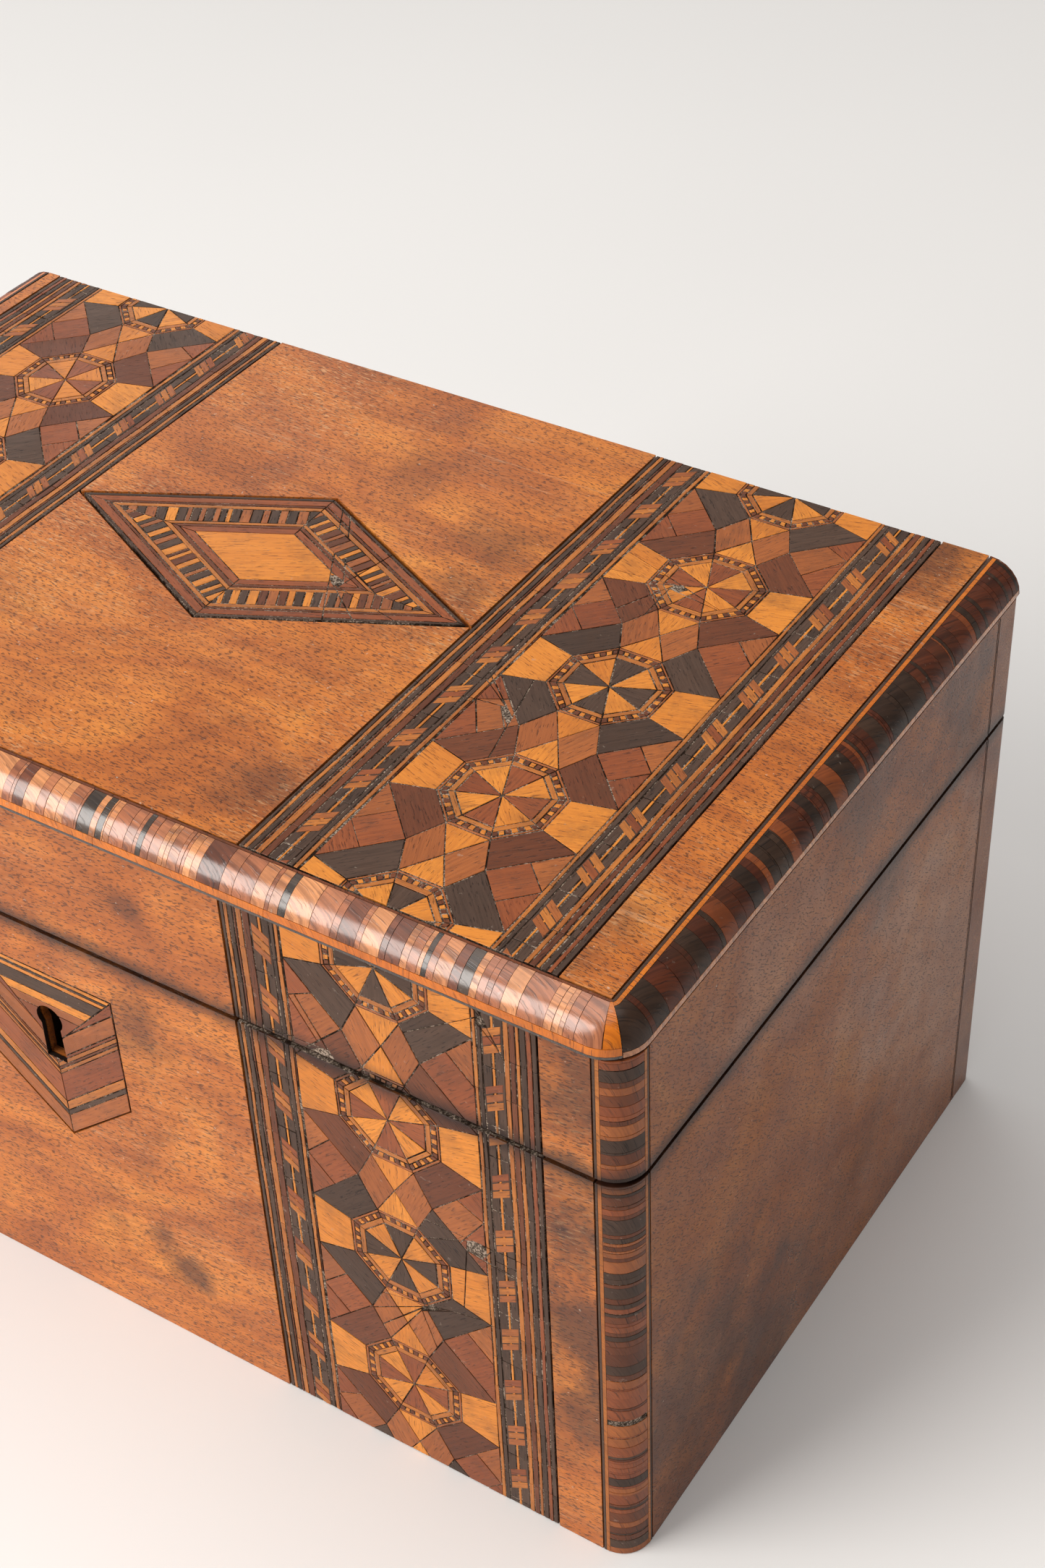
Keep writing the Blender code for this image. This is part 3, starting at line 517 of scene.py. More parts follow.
def old_metal(name, clean, tarnish, rough):
    """Brushed metal, tarnished and rougher in patches."""
    s = Shader(name)
    age = s.ramp(s.noise(s.here, 240.0, 6, 0.7, 0.4), (0.38, 0.0), (0.66, 1.0))
    brush = s.grained(s.here, (60, 1500, 1500), 3, 0.6)
    gloss = s.ramp(age, (0.0, rough), (1.0, rough + 0.28))
    normal = s.bump(brush, 0.00002, 0.5)
    normal = s.bump(s.noise(s.here, 700.0, 4, 0.6), 0.00003, 0.5, normal)
    colour = s.mix(s.times(age, 0.75), clean, tarnish)
    s.set(Base_Color=colour, Metallic=1.0, Roughness=gloss, Normal=normal)
    return s.material


def tin_foil():
    """Creased, dulled tin foil."""
    s = Shader("dull_tin_foil")
    crease = s.noise(s.here, 75.0, 6, 0.7, 1.4)
    ridge = s.ramp(s.size(s.minus(crease, 0.5)), (0.0, 1.0), (0.05, 0.0))
    bloom = s.ramp(s.noise(s.here, 40.0, 5, 0.65), (0.35, 0.0), (0.7, 1.0))
    colour = s.mix(bloom, (0.36, 0.36, 0.35), (0.19, 0.185, 0.175))
    gloss = s.ramp(bloom, (0.0, 0.34), (1.0, 0.6))
    normal = s.bump(ridge, 0.0003, 0.5)
    normal = s.bump(crease, 0.0012, 0.6, normal)
    s.set(Base_Color=colour, Metallic=1.0, Roughness=gloss, Normal=normal)
    return s.material


def velvet():
    """Faded crimson velvet with a short nap."""
    s = Shader("old_velvet")
    nap = s.noise(s.here, 2600.0, 3, 0.6)
    worn = s.ramp(s.noise(s.here, 32.0, 5, 0.6), (0.35, 0.0), (0.75, 1.0))
    colour = s.mix(worn, (0.085, 0.010, 0.014), (0.19, 0.035, 0.034))
    colour = s.tinted(colour, (0.02, 0.003, 0.004), nap, (0.4, 0.4), (0.6, 0.0))
    s.set(Base_Color=colour, Roughness=0.92, Normal=s.bump(nap, 0.0004, 0.7))
    s.set(Sheen_Weight=0.6, Sheen_Roughness=0.4, Sheen_Tint=(0.6, 0.3, 0.3, 1.0))
    return s.material


def floor_paper():
    """Pale studio paper."""
    s = Shader("pale_floor")
    tone = s.ramp(s.noise(s.here, 3.0, 2, 0.5), (0.3, 0.80), (0.7, 0.83))
    s.set(Base_Color=s.mix(1.0, tone, (1.0, 0.985, 0.97), "MULTIPLY"), Roughness=0.7)
    return s.material


# Walnut's figure, from dark to light: (position, colour)
WALNUT_FIGURE = (
    (0.34, (0.290, 0.075, 0.014)),
    (0.45, (0.440, 0.120, 0.019)),
    (0.55, (0.570, 0.175, 0.026)),
    (0.68, (0.680, 0.250, 0.040)),
)

# Finishes that differ from plain veneer: hands have polished the rounded edges
DULL = {"rough": (0.34, 0.55), "shine": 0.15}
SOFT = {"shine": 0.18}
BRIGHT = {"rough": (0.2, 0.36), "shine": 0.4, "coat": 0.2}
STRIPED = {"banded": 0.6}
FAINTLY_STRIPED = {"banded": 0.4}
POLISHED = {"rough": (0.17, 0.3), "shine": 0.5, "coat": 0.55, "banded": 0.6}

# Inlay woods: darker, lighter, veins, finish
WOODS = {
    "boxwood": ((0.53, 0.152, 0.017), (0.82, 0.300, 0.040), (0.38, 0.100, 0.013), {}),
    "satin_line": ((0.36, 0.105, 0.020), (0.60, 0.205, 0.036), (0.19, 0.050, 0.012), {}),
    "ebony": ((0.048, 0.027, 0.019), (0.115, 0.065, 0.044), (0.026, 0.015, 0.010), DULL),
    "rosewood": ((0.195, 0.044, 0.013), (0.360, 0.094, 0.025), (0.105, 0.022, 0.008), {}),
    "kingwood": ((0.105, 0.031, 0.014), (0.205, 0.060, 0.023), (0.055, 0.017, 0.009), SOFT),
    "walnut_inlay": ((0.28, 0.076, 0.020), (0.46, 0.138, 0.032), (0.15, 0.038, 0.011), {}),
    "orange_line": ((0.52, 0.115, 0.008), (0.80, 0.230, 0.014), (0.30, 0.060, 0.006), BRIGHT),
    # Darker copies of kingwood and ebony for the side mouldings: painted shade on the faces turned from the
    # key light
    "kingwood_dark": ((0.070, 0.016, 0.007), (0.170, 0.040, 0.014), (0.025, 0.007, 0.004), STRIPED),
    "ebony_dark": ((0.024, 0.013, 0.009), (0.080, 0.042, 0.025), (0.010, 0.006, 0.004), FAINTLY_STRIPED),
    # Lighter copies of rosewood, kingwood and walnut for the rounded mouldings: painted light where the
    # quarter-round catches the key light
    "rosewood_edge": ((0.35, 0.105, 0.043), (0.58, 0.215, 0.090), (0.165, 0.048, 0.023), POLISHED),
    "kingwood_edge": ((0.145, 0.040, 0.018), (0.265, 0.078, 0.031), (0.060, 0.018, 0.011), POLISHED),
    "ebony_edge": ((0.040, 0.024, 0.016), (0.095, 0.058, 0.038), (0.016, 0.010, 0.007), POLISHED),
    "walnut_edge": ((0.56, 0.205, 0.076), (0.80, 0.340, 0.128), (0.27, 0.085, 0.032), POLISHED),
}

MATERIALS = {
    "walnut_top": polished_walnut("walnut_top", turn=(0, 0, 4), shade=1.1, stain_and_painted_light_patches=TOP_STAINS),
    "walnut_front": polished_walnut(
        "walnut_front", turn=(0, 9, 0), dark=-0.03, shade=1.12, flecked=0.2, stain_and_painted_light_patches=FRONT_STAINS
    ),
    # The side walls: a darker copy of the same walnut, painted shade on the faces turned from the key light
    "walnut_side_painted_shade": polished_walnut(
        "walnut_side_painted_shade",
        turn=(38, 0, 90),
        dark=0.03,
        shade=0.63,
        gloss=0.08,
        flecked=0.0,
        stain_and_painted_light_patches=SIDE_STAINS_AND_PAINTED_SHADE,
        painted_sheen=SIDE_PAINTED_SHEEN,
    ),
    "walnut_back": polished_walnut("walnut_back", dark=0.06, shade=0.5, gloss=0.2, flecked=0.2),
    "keyhole": shadow_wood(),
    "glue": glue_bed(),
    "pine": plain_wood("aged_pine", (0.30, 0.15, 0.06), (0.46, 0.26, 0.11), 0.62),
    "mahogany": plain_wood("waxed_mahogany", (0.13, 0.032, 0.014), (0.26, 0.075, 0.028), 0.42),
    "turned_boxwood": plain_wood(
        "turned_boxwood", (0.42, 0.20, 0.06), (0.60, 0.34, 0.12), 0.34, (0, 90, 0)
    ),
    "brass": old_metal("aged_brass", (0.62, 0.41, 0.15), (0.20, 0.11, 0.045), 0.26),
    # Brass darkened to near black as painted shade, so the lock looks dark through the keyhole
    "lock_brass_painted_shade": old_metal("brass_painted_shade_for_lock", (0.050, 0.030, 0.014), (0.016, 0.010, 0.006), 0.5),
    "steel": old_metal("dull_steel", (0.42, 0.40, 0.38), (0.12, 0.085, 0.06), 0.34),
    "foil": tin_foil(),
    "velvet": velvet(),
    "floor": floor_paper(),
}
for wood_name, (darker, lighter, veins, finish) in WOODS.items():
    MATERIALS[wood_name] = veneer(wood_name, darker, lighter, veins, **finish)

# --- flat geometry


def sides(outline):
    return zip(outline, outline[1:] + outline[:1])


def clip(outline, a, b, c):
    """The part of a convex outline where a*u + b*v is at most c."""
    kept = []
    for (u0, v0), (u1, v1) in sides(outline):
        first = a * u0 + b * v0 - c
        second = a * u1 + b * v1 - c
        if first <= 0:
            kept.append((u0, v0))
        if first * second < 0:
            t = first / (first - second)
            kept.append((u0 + (u1 - u0) * t, v0 + (v1 - v0) * t))
    return kept


def strip_of(outline, a, b, low, high):
    """The part of a convex outline where a*u + b*v is between low and high."""
    return clip(clip(outline, -a, -b, -low), a, b, high)


def clip_box(outline, low, high):
    for a, b, c in ((-1, 0, -low[0]), (1, 0, high[0]), (0, -1, -low[1]), (0, 1, high[1])):
        outline = clip(outline, a, b, c)
    return outline


def without(outline, hole):
    """Convex parts of a convex outline that lie outside a convex hole given counter-clockwise."""
    centre = [sum(p[i] for p in outline) / max(1, len(outline)) for i in (0, 1)]
    reach = max([math.dist(centre, p) for p in outline] + [0])
    if not outline or min(math.dist(centre, p) for p in hole) > reach + CHIP_REACH:
        return [outline]
    parts = []
    rest = outline
    for (u0, v0), (u1, v1) in sides(hole):
        a, b = v1 - v0, u0 - u1
        c = a * u0 + b * v0
        outside = clip(rest, -a, -b, -c)
        if len(outside) > 2:
            parts.append(outside)
        rest = clip(rest, a, b, c)
        if len(rest) < 3:
            return parts
    return parts


def area(outline):
    return sum(u0 * v1 - u1 * v0 for (u0, v0), (u1, v1) in sides(outline)) / 2


def tidy(outline):
    """Counter-clockwise, without points that all but coincide."""
    if area(outline) < 0:
        outline = outline[::-1]
    kept = []
    for point in outline:
        if not kept or math.dist(point, kept[-1]) > SMALLEST_STEP:
            kept.append(point)
    if len(kept) > 1 and math.dist(kept[0], kept[-1]) <= SMALLEST_STEP:
        kept.pop()
    return kept


def inset(outline, by):
    """A convex outline moved in by a distance on every side, or None if nothing is left of it."""
    moved = outline
    for (u0, v0), (u1, v1) in sides(outline):
        length = math.hypot(u1 - u0, v1 - v0)
        a, b = (v1 - v0) / length, (u0 - u1) / length
        moved = clip(moved, a, b, a * u0 + b * v0 - by)
        if len(moved) < 3:
            return None
    moved = tidy(moved)
    return moved if len(moved) > 2 and area(moved) > 0 else None


def warped(u, v, seed):
    """The slight unevenness of hand-cut work, smooth enough that neighbours still meet."""
    at = Vector((u / WARP_SIZE, v / WARP_SIZE, seed))
    return u + WARP * noise.noise(at), v + WARP * noise.noise(at + Vector((31.7, 11.3, 5.1)))


# --- veneer meshes


def new_object(name, points, faces, materials):
    mesh = bpy.data.meshes.new(name)
    mesh.from_pydata(points, [], faces)
    for material in materials:
        mesh.materials.append(MATERIALS[material])
    obj = bpy.data.objects.new(name, mesh)
    bpy.context.scene.collection.objects.link(obj)
    return obj


def stacked_faces(count, rings=2):
    """Faces of a closed solid whose points are rings of the same count, from its top down."""
    faces = [tuple(range(count)), tuple(range(rings * count - 1, (rings - 1) * count - 1, -1))]
    for start in range(0, (rings - 1) * count, count):
        for i in range(count):
            j = (i + 1) % count
            faces.append((start + i, start + count + i, start + count + j, start + j))
    return faces


class Veneers:
    """Collects many closed pieces of veneer into one mesh."""

    def __init__(self, name):
        self.name = name
        self.points = []
        self.faces = []
        self.slots = []
        self.grain = []
        self.tint = []

    def solid(self, points, faces, wood, grain):
        start = len(self.points)
        tint = chance.random()
        shift = chance.uniform(0, 9)
        self.points += points
        self.faces += [tuple(start + i for i in face) for face in faces]
        self.slots += [wood] * len(faces)
        self.grain += [(g[0] + shift, g[1] + shift, shift) for g in grain]
        self.tint += [tint] * len(points)

    def build(self):
        woods = sorted(set(self.slots))
        obj = new_object(self.name, self.points, self.faces, woods)
        mesh = obj.data
        mesh.polygons.foreach_set("material_index", [woods.index(w) for w in self.slots])
        grain = mesh.attributes.new("grain", "FLOAT_VECTOR", "POINT")
        grain.data.foreach_set("vector", [c for g in self.grain for c in g])
        tint = mesh.attributes.new("tint", "FLOAT", "POINT")
        tint.data.foreach_set("value", self.tint)
        mesh.validate()
        return obj

    def stand_in(self, node, body, slot):
        """Builds the mesh in place of a CAD node."""
        obj = self.build()
        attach(obj, body)
        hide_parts(node)
        return obj


class Face:
    """A flat veneered face, in two directions across it and a depth below it. It lays the pieces."""

    def __init__(self, name, node, plane, seed):
        low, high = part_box(node)
        self.node = node
        self.pieces = Veneers(name)
        self.seed = seed
        self.chips = []
        if plane == "top":
            self.low, self.high = (low.x, low.y), (high.x, high.y)
            self.place = lambda u, v, d: (u, v, high.z - d)
            self.back = high.z - low.z
        else:
            self.low, self.high = (low.x, low.z), (high.x, high.z)
            self.place = lambda u, v, d: (u, low.y + d, v)
            self.back = high.y - low.y

    def bed(self, ring=None):
        """The glue that shows in the joints, over the whole face or inside a ring."""
        if ring is None:
            (u0, v0), (u1, v1) = self.low, self.high
            left, right = u0 + BED_EDGE, u1 - BED_EDGE
            foot, head = v0 + BED_EDGE, v1 - BED_EDGE
            ring = [(left, foot), (right, foot), (right, head), (left, head)]
        points = [self.place(u, v, d) for d in (BED_DEPTH, self.back) for u, v in ring]
        self.pieces.solid(points, stacked_faces(len(ring)), "glue", [(0, 0)] * len(points))

    def lay(self, outline, wood, grain_angle=0.0, sunk=0.0, within=None):
        """Lays one convex piece, clipped to the face and to the chips knocked out of it."""
        low, high = within or (self.low, self.high)
        outline = [warped(u, v, self.seed) for u, v in outline]
        parts = [clip_box(outline, low, high)]
        for chip in self.chips:
            parts = [left for part in parts for left in without(part, chip)]
        for part in parts:
            part = tidy(part)
            if len(part) > 2:
                self.set_piece(part, wood, grain_angle, sunk)

    def set_piece(self, outline, wood, grain_angle, sunk):
        """One closed piece, eased at its edges and a hair low."""
        body = inset(outline, GLUE * chance.uniform(0.6, 1.5))
        crown = inset(body, EASE) if body else None
        if not crown:
            return
        if len(crown) != len(body):
            crown = body
        rise = sunk + chance.uniform(0.0, 0.03) * MM
        rings = ((crown, rise), (body, rise + EASE * 0.8), (body, PIECE_DEPTH))
        points = [self.place(u, v, d) for ring, d in rings for u, v in ring]
        cos, sin = math.cos(grain_angle), math.sin(grain_angle)
        grain = [(u * cos + v * sin, v * cos - u * sin) for ring, _ in rings for u, v in ring]
        self.pieces.solid(points, stacked_faces(len(body), len(rings)), wood, grain)

    def done(self, body):
        return self.pieces.stand_in(self.node, body, "parquetry")


def octagon(apothem):
    radius = apothem / math.cos(math.pi / 8)
    turns = [math.pi / 8 + math.pi / 4 * k for k in range(8)]
    return [(radius * math.cos(turn), radius * math.sin(turn)) for turn in turns]


def between(a, b, t):
    return (a[0] + (b[0] - a[0]) * t, a[1] + (b[1] - a[1]) * t)


def wheel_pieces(period, dark):
    """The pieces of one wheel about (0, 0), and of the gap between it and the next one up.

    Each is (outline, wood, grain angle). dark is the wood of the wheel's spokes.
    """
    made = []

    def add(outline, wood, angle):
        made.append((outline, wood, angle))

    sizes = (WHEEL_OUTER, CHECK_OUTER, CHECK_INNER, WHEEL_INNER)
    outer, ring_out, ring_in, inner = (octagon(size) for size in sizes)
    arm = "ebony" if dark == "ebony" else "kingwood"
    for k in range(8):
        j = (k + 1) % 8
        along = math.pi / 4 * (k + 1) + math.pi / 2
        add([outer[k], outer[j], ring_out[j], ring_out[k]], "walnut_inlay", along)
        add([ring_in[k], ring_in[j], inner[j], inner[k]], "satin_line", along)
        for n in range(CHECKS_PER_SIDE):
            t0, t1 = n / CHECKS_PER_SIDE, (n + 1) / CHECKS_PER_SIDE
            cell = [
                between(ring_out[k], ring_out[j], t0),
                between(ring_out[k], ring_out[j], t1),
                between(ring_in[k], ring_in[j], t1),
                between(ring_in[k], ring_in[j], t0),
            ]
            add(cell, "boxwood" if n % 2 else "kingwood", along)
        spoke = dark if k % 2 == 1 else "boxwood"
        add([(0, 0), inner[k], inner[j]], spoke, along + math.pi / 2)
    half = period / 2
    edge = MOSAIC_HALF
    x, y = outer[0]
    for side in (-1, 1):
        wing = [(side * x, -y), (side * edge, -WING_HALF), (side * edge, WING_HALF), (side * x, y)]
        add(wing, "boxwood", 0.3 * side)
        for up in (-1, 1):
            quad = [
                (side * y, up * x),
                (side * x, up * y),
                (side * edge, up * WING_HALF),
                (side * KITE_REACH, up * half),
            ]
            add(quad, arm, math.atan2(-up, side))
    tip = WHEEL_OUTER * math.tan(math.pi / 8)
    for up in (-1, 1):
        point = [(-tip, up * WHEEL_OUTER), (tip, up * WHEEL_OUTER), (0, up * half)]
        add(point, "boxwood", math.pi / 2)
    for side in (-1, 1):
        kite = [
            (side * tip, WHEEL_OUTER),
            (side * KITE_REACH, half),
            (side * tip, period - WHEEL_OUTER),
            (0, half),
        ]
        add(kite, "walnut_inlay", math.pi / 2 - side * 0.4)
        made += bricks(side, half, period, edge)
    return made


def bricks(side, half, period, edge):
    """The red-brown pieces that fill the triangle between two wheels at the mosaic's edge."""
    point = (side * KITE_REACH, half)
    low = (side * edge, WING_HALF)
    high = (side * edge, period - WING_HALF)
    middle = (side * edge, half)
    down = between(point, low, 0.5)
    up = between(point, high, 0.5)
    style = chance.random()
    if style < 0.55:
        return [
            ([point, down, middle, up], "rosewood", math.pi / 4),
            ([down, low, middle], "rosewood", -math.pi / 4),
            ([up, middle, high], "walnut_inlay", math.pi / 4),
        ]
    if style < 0.8:
        third = between(low, high, 0.62)
        return [
            ([point, down, third, up], "walnut_inlay", math.pi / 4),
            ([down, low, third], "rosewood", math.pi / 4),
            ([up, third, high], "rosewood", -math.pi / 4),
        ]
    half_way = between(low, high, 0.5)
    return [
        ([point, low, half_way, up], "rosewood", math.pi / 4),
        ([up, half_way, high], "walnut_inlay", -math.pi / 4),
    ]


def lay_band(face, side, wheel_at, period, leans):
    """One parquetry band: mosaic in the middle, lines and a rope strip on each side of it."""
    centre = (face.low[0] + face.high[0]) / 2
    low, high = face.low[1], face.high[1]
    within = ((centre - MOSAIC_HALF, low), (centre + MOSAIC_HALF, high))
    for k in range(-4, 5):
        dark = "ebony" if k % 2 == 0 else "rosewood"
        at = wheel_at + k * period
        if at + period < low - period / 2 or at - period > high:
            continue
        for outline, wood, angle in wheel_pieces(period, dark):
            face.lay([(centre + u * side, at + v) for u, v in outline], wood, angle, within=within)
    for lines, way in ((INNER_LINES, -side), (OUTER_LINES, side)):
        for start, end, wood in lines:
            lay_line(face, centre + way * start * MM, centre + way * end * MM, wood)
    for (start, end), way, lean in ((INNER_ROPE, -side, leans[0]), (OUTER_ROPE, side, leans[1])):
        lay_rope(face, centre + way * start * MM, centre + way * end * MM, side * lean * MM)


def upright(u0, u1, v0, v1):
    return [(u0, v0), (u1, v0), (u1, v1), (u0, v1)]


def lay_line(face, u0, u1, wood):
    """A long thin line, in short lengths so that it wavers a little."""
    start, end = face.low[1], face.high[1]
    count = max(1, round((end - start) / LINE_STEP))
    for i in range(count):
        v0 = start + (end - start) * i / count
        v1 = start + (end - start) * (i + 1) / count + LINE_OVERLAP
        face.lay(upright(u0, u1, v0, v1), wood, math.pi / 2)


def lay_rope(face, u0, u1, slope):
    """An ebony strip with leaning three-part links on a thin boxwood line. slope is a link's lean."""
    left, right = sorted((u0, u1))
    mid = (left + right) / 2
    core = ROPE_CORE / 2
    links = ROPE_LINK / 2
    start = face.low[1] + chance.uniform(-0.5, 0.5) * ROPE_PITCH
    count = int((face.high[1] - start) / ROPE_PITCH) + 2
    strips = (
        (left, mid - core, "ebony"),
        (mid + core, right, "ebony"),
        (mid - core, mid + core, "boxwood"),
    )
    for i in range(-1, count):
        at = start + i * ROPE_PITCH
        for strip_left, strip_right, wood in strips:
            outline = upright(strip_left, strip_right, at, at + ROPE_PITCH)
            face.lay(outline, wood, math.pi / 2, ROPE_SUNK)
        here = at + ROPE_PITCH / 2 + chance.uniform(-0.5, 0.5) * MM
        reach = (right - left) / 2 - LINK_MARGIN
        u0, v0, u1, v1 = mid - reach, here - slope, mid + reach, here + slope
        turn = math.atan2(2 * slope, 2 * reach)
        for n, wood in enumerate(chance.choice(LINK_MIX)):
            below, above = links * (2 * n / 3 - 1), links * (2 * (n + 1) / 3 - 1)
            face.lay([(u0, v0 + below), (u1, v1 + below), (u1, v1 + above), (u0, v0 + above)], wood, turn)


def parquetry_bands():
    for name, side in (("left", -1), ("right", 1)):
        for piece, node, plane, body, seed, layout, chips in (
            ("parquetry_top", "lid_top_band", "top", "lid", 1.0, TOP_BAND, TOP_CHIPS),
            ("parquetry_lid_front", "lid_front_band", "front", "lid", 5.0, FRONT_BAND, LID_CHIPS),
            ("parquetry_body_front", "body_front_band", "front", "case", 5.0, FRONT_BAND, BODY_CHIPS),
        ):
            face = Face(f"{piece}_{name}", f"{node}_{name}", plane, seed + side)
            face.bed()
            if side > 0:
                face.chips = [chip(*values) for values in chips]
            lay_band(face, side, **layout)
            face.done(body)


def chip(u, v, half_u, half_v, turn):
    """A ragged hole about (u, v), in millimetres and degrees."""
    outline = []
    for i in range(7):
        angle = math.tau * i / 7 + chance.uniform(-0.25, 0.25)
        size = chance.uniform(0.75, 1.1)
        x, y = half_u * size * math.cos(angle), half_v * size * math.sin(angle)
        cos, sin = math.cos(math.radians(turn)), math.sin(math.radians(turn))
        outline.append(((u + x * cos - y * sin) * MM, (v + x * sin + y * cos) * MM))
    return outline


def lozenge():
    chips = [chip(*values) for values in LOZENGE_CHIPS]
    face = Face("lozenge", "lozenge_inlay", "top", 9.0)
    face.chips = chips
    low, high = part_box(face.node)
    centre = (low + high) / 2
    half = (high - low) / 2

    def corners(scale):
        return [
            (centre.x + half.x * scale, centre.y),
            (centre.x, centre.y + half.y * scale),
            (centre.x - half.x * scale, centre.y),
            (centre.x, centre.y - half.y * scale),
        ]

    face.bed(corners(BED_SCALE))
    for outer, inner, wood in LOZENGE_LAYERS:
        big, small = corners(outer), corners(inner)
        for k in range(4):
            j = (k + 1) % 4
            angle = math.atan2(big[j][1] - big[k][1], big[j][0] - big[k][0])
            face.lay([big[k], big[j], small[j], small[k]], wood, angle)
    big, small = (corners(scale) for scale in LOZENGE_BARS)
    for k in range(4):
        j = (k + 1) % 4
        lay_bars(face, [big[k], big[j], small[j], small[k]], big[k], big[j])
    face.lay(corners(LOZENGE_HEART), "boxwood", 0.5)
    face.done("lid")


def lay_bars(face, region, start, end):
    """Crossbanding: bars of mixed wood across a strip, laid at right angles to its outer side."""
    length = math.dist(start, end)
    a, b = (end[0] - start[0]) / length, (end[1] - start[1]) / length
    base = a * start[0] + b * start[1]
    at = 0.0
    pale = False
    while at < length:
        width = chance.uniform(0.9, 2.1) * MM
        bar = strip_of(region, a, b, base + at, base + at + width)
        wood = chance.choice(PALE_BARS if pale else DARK_BARS)
        if len(bar) > 2:
            face.lay(bar, wood, math.atan2(a, -b))
        at += width
        pale = not pale


def escutcheon():
    """The shield round the keyhole: level strips above, strips along the two lower edges below."""
    face = Face("escutcheon", "escutcheon_inlay", "front", 13.0)
    low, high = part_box(face.node)
    middle = (low.x + high.x) / 2
    shoulder = low.z + SHIELD_SHOULDER
    shield = [
        (middle, low.z),
        (high.x, shoulder),
        (high.x, high.z),
        (low.x, high.z),
        (low.x, shoulder),
    ]
    heart = (middle, (low.z + high.z) / 2)
    face.bed([between(heart, corner, BED_SCALE) for corner in shield])
    fork = low.z + SHIELD_FORK
    rise = (high.z - fork) / (high.x - middle)
    top = clip(clip(shield, rise, -1, rise * middle - fork), -rise, -1, -rise * middle - fork)
    level = high.z
    for height, wood in SHIELD_TOP:
        strip = clip(clip(top, 0, 1, level), 0, -1, -(level - height * MM))
        if len(strip) > 2:
            face.lay(strip, wood, 0.0)
        level -= height * MM
    slope = math.atan2(shoulder - low.z, high.x - middle)
    for side in (-1, 1):
        half = clip(shield, -side, 0, -side * middle)
        wing = clip(half, -side * rise, 1, fork - side * rise * middle)
        a, b = -side * math.sin(slope), math.cos(slope)
        base = a * middle + b * low.z
        at = 0.0
        for width, wood in SHIELD_WING:
            strip = strip_of(wing, a, b, base + at * MM, base + (at + width) * MM)
            if len(strip) > 2:
                face.lay(strip, wood, side * slope)
            at += width
    drill_keyhole(face.done("case"), middle, low)


def drill_keyhole(obj, middle, low):
    """Cuts the keyhole through the laid shield, in the CAD keyhole's shape."""
    head, foot = low.z + KEY_HEAD, low.z + KEY_FOOT
    start = -math.acos(KEY_NECK / KEY_HEAD_R)
    outline = [(middle - KEY_FOOT_HALF, foot), (middle + KEY_FOOT_HALF, foot)]
    for i in range(15):
        angle = start + (math.pi - 2 * start) * i / 14
        outline.append((middle + KEY_HEAD_R * math.cos(angle), head + KEY_HEAD_R * math.sin(angle)))
    points = [(u, y, v) for y in (low.y - MM, low.y + 3 * MM) for u, v in outline]
    # The cutter passes its painted shade on to the keyhole's cut walls
    cutter = new_object("cutter", points, stacked_faces(len(outline)), ["keyhole"])
    modifier = obj.modifiers.new("cut", "BOOLEAN")
    modifier.operation = "DIFFERENCE"
    modifier.solver = "EXACT"
    modifier.use_self = True
    modifier.object = cutter
    modifier.material_mode = "TRANSFER"
    bpy.context.view_layer.update()
    graph = bpy.context.evaluated_depsgraph_get()
    whole = bpy.data.meshes.new_from_object(obj.evaluated_get(graph))
    obj.modifiers.clear()
    obj.data = whole
    bpy.data.objects.remove(cutter)


# --- crossbanded edges


def shell_piece(pieces, stations, wood):
    """A closed piece lofted through stations, each a list of outer points then of inner points."""
    outer_count = len(stations[0][0])
    rings = [outer + inner[::-1] for outer, inner in stations]
    count = 2 * outer_count
    points = [p for ring in rings for p in ring]
    faces = [tuple(range(count - 1, -1, -1)), tuple((len(rings) - 1) * count + i for i in range(count))]
    for r in range(len(rings) - 1):
        for i in range(count):
            j = (i + 1) % count
            a, b = r * count, (r + 1) * count
            faces.append((a + i, a + j, b + j, b + i))
    first = Vector(points[0])
    across = Vector(points[outer_count - 1]) - first
    across.normalize()
    grain = [((Vector(p) - first).dot(across), (Vector(p) - first).length) for p in points]
    pieces.solid(points, faces, wood, grain)


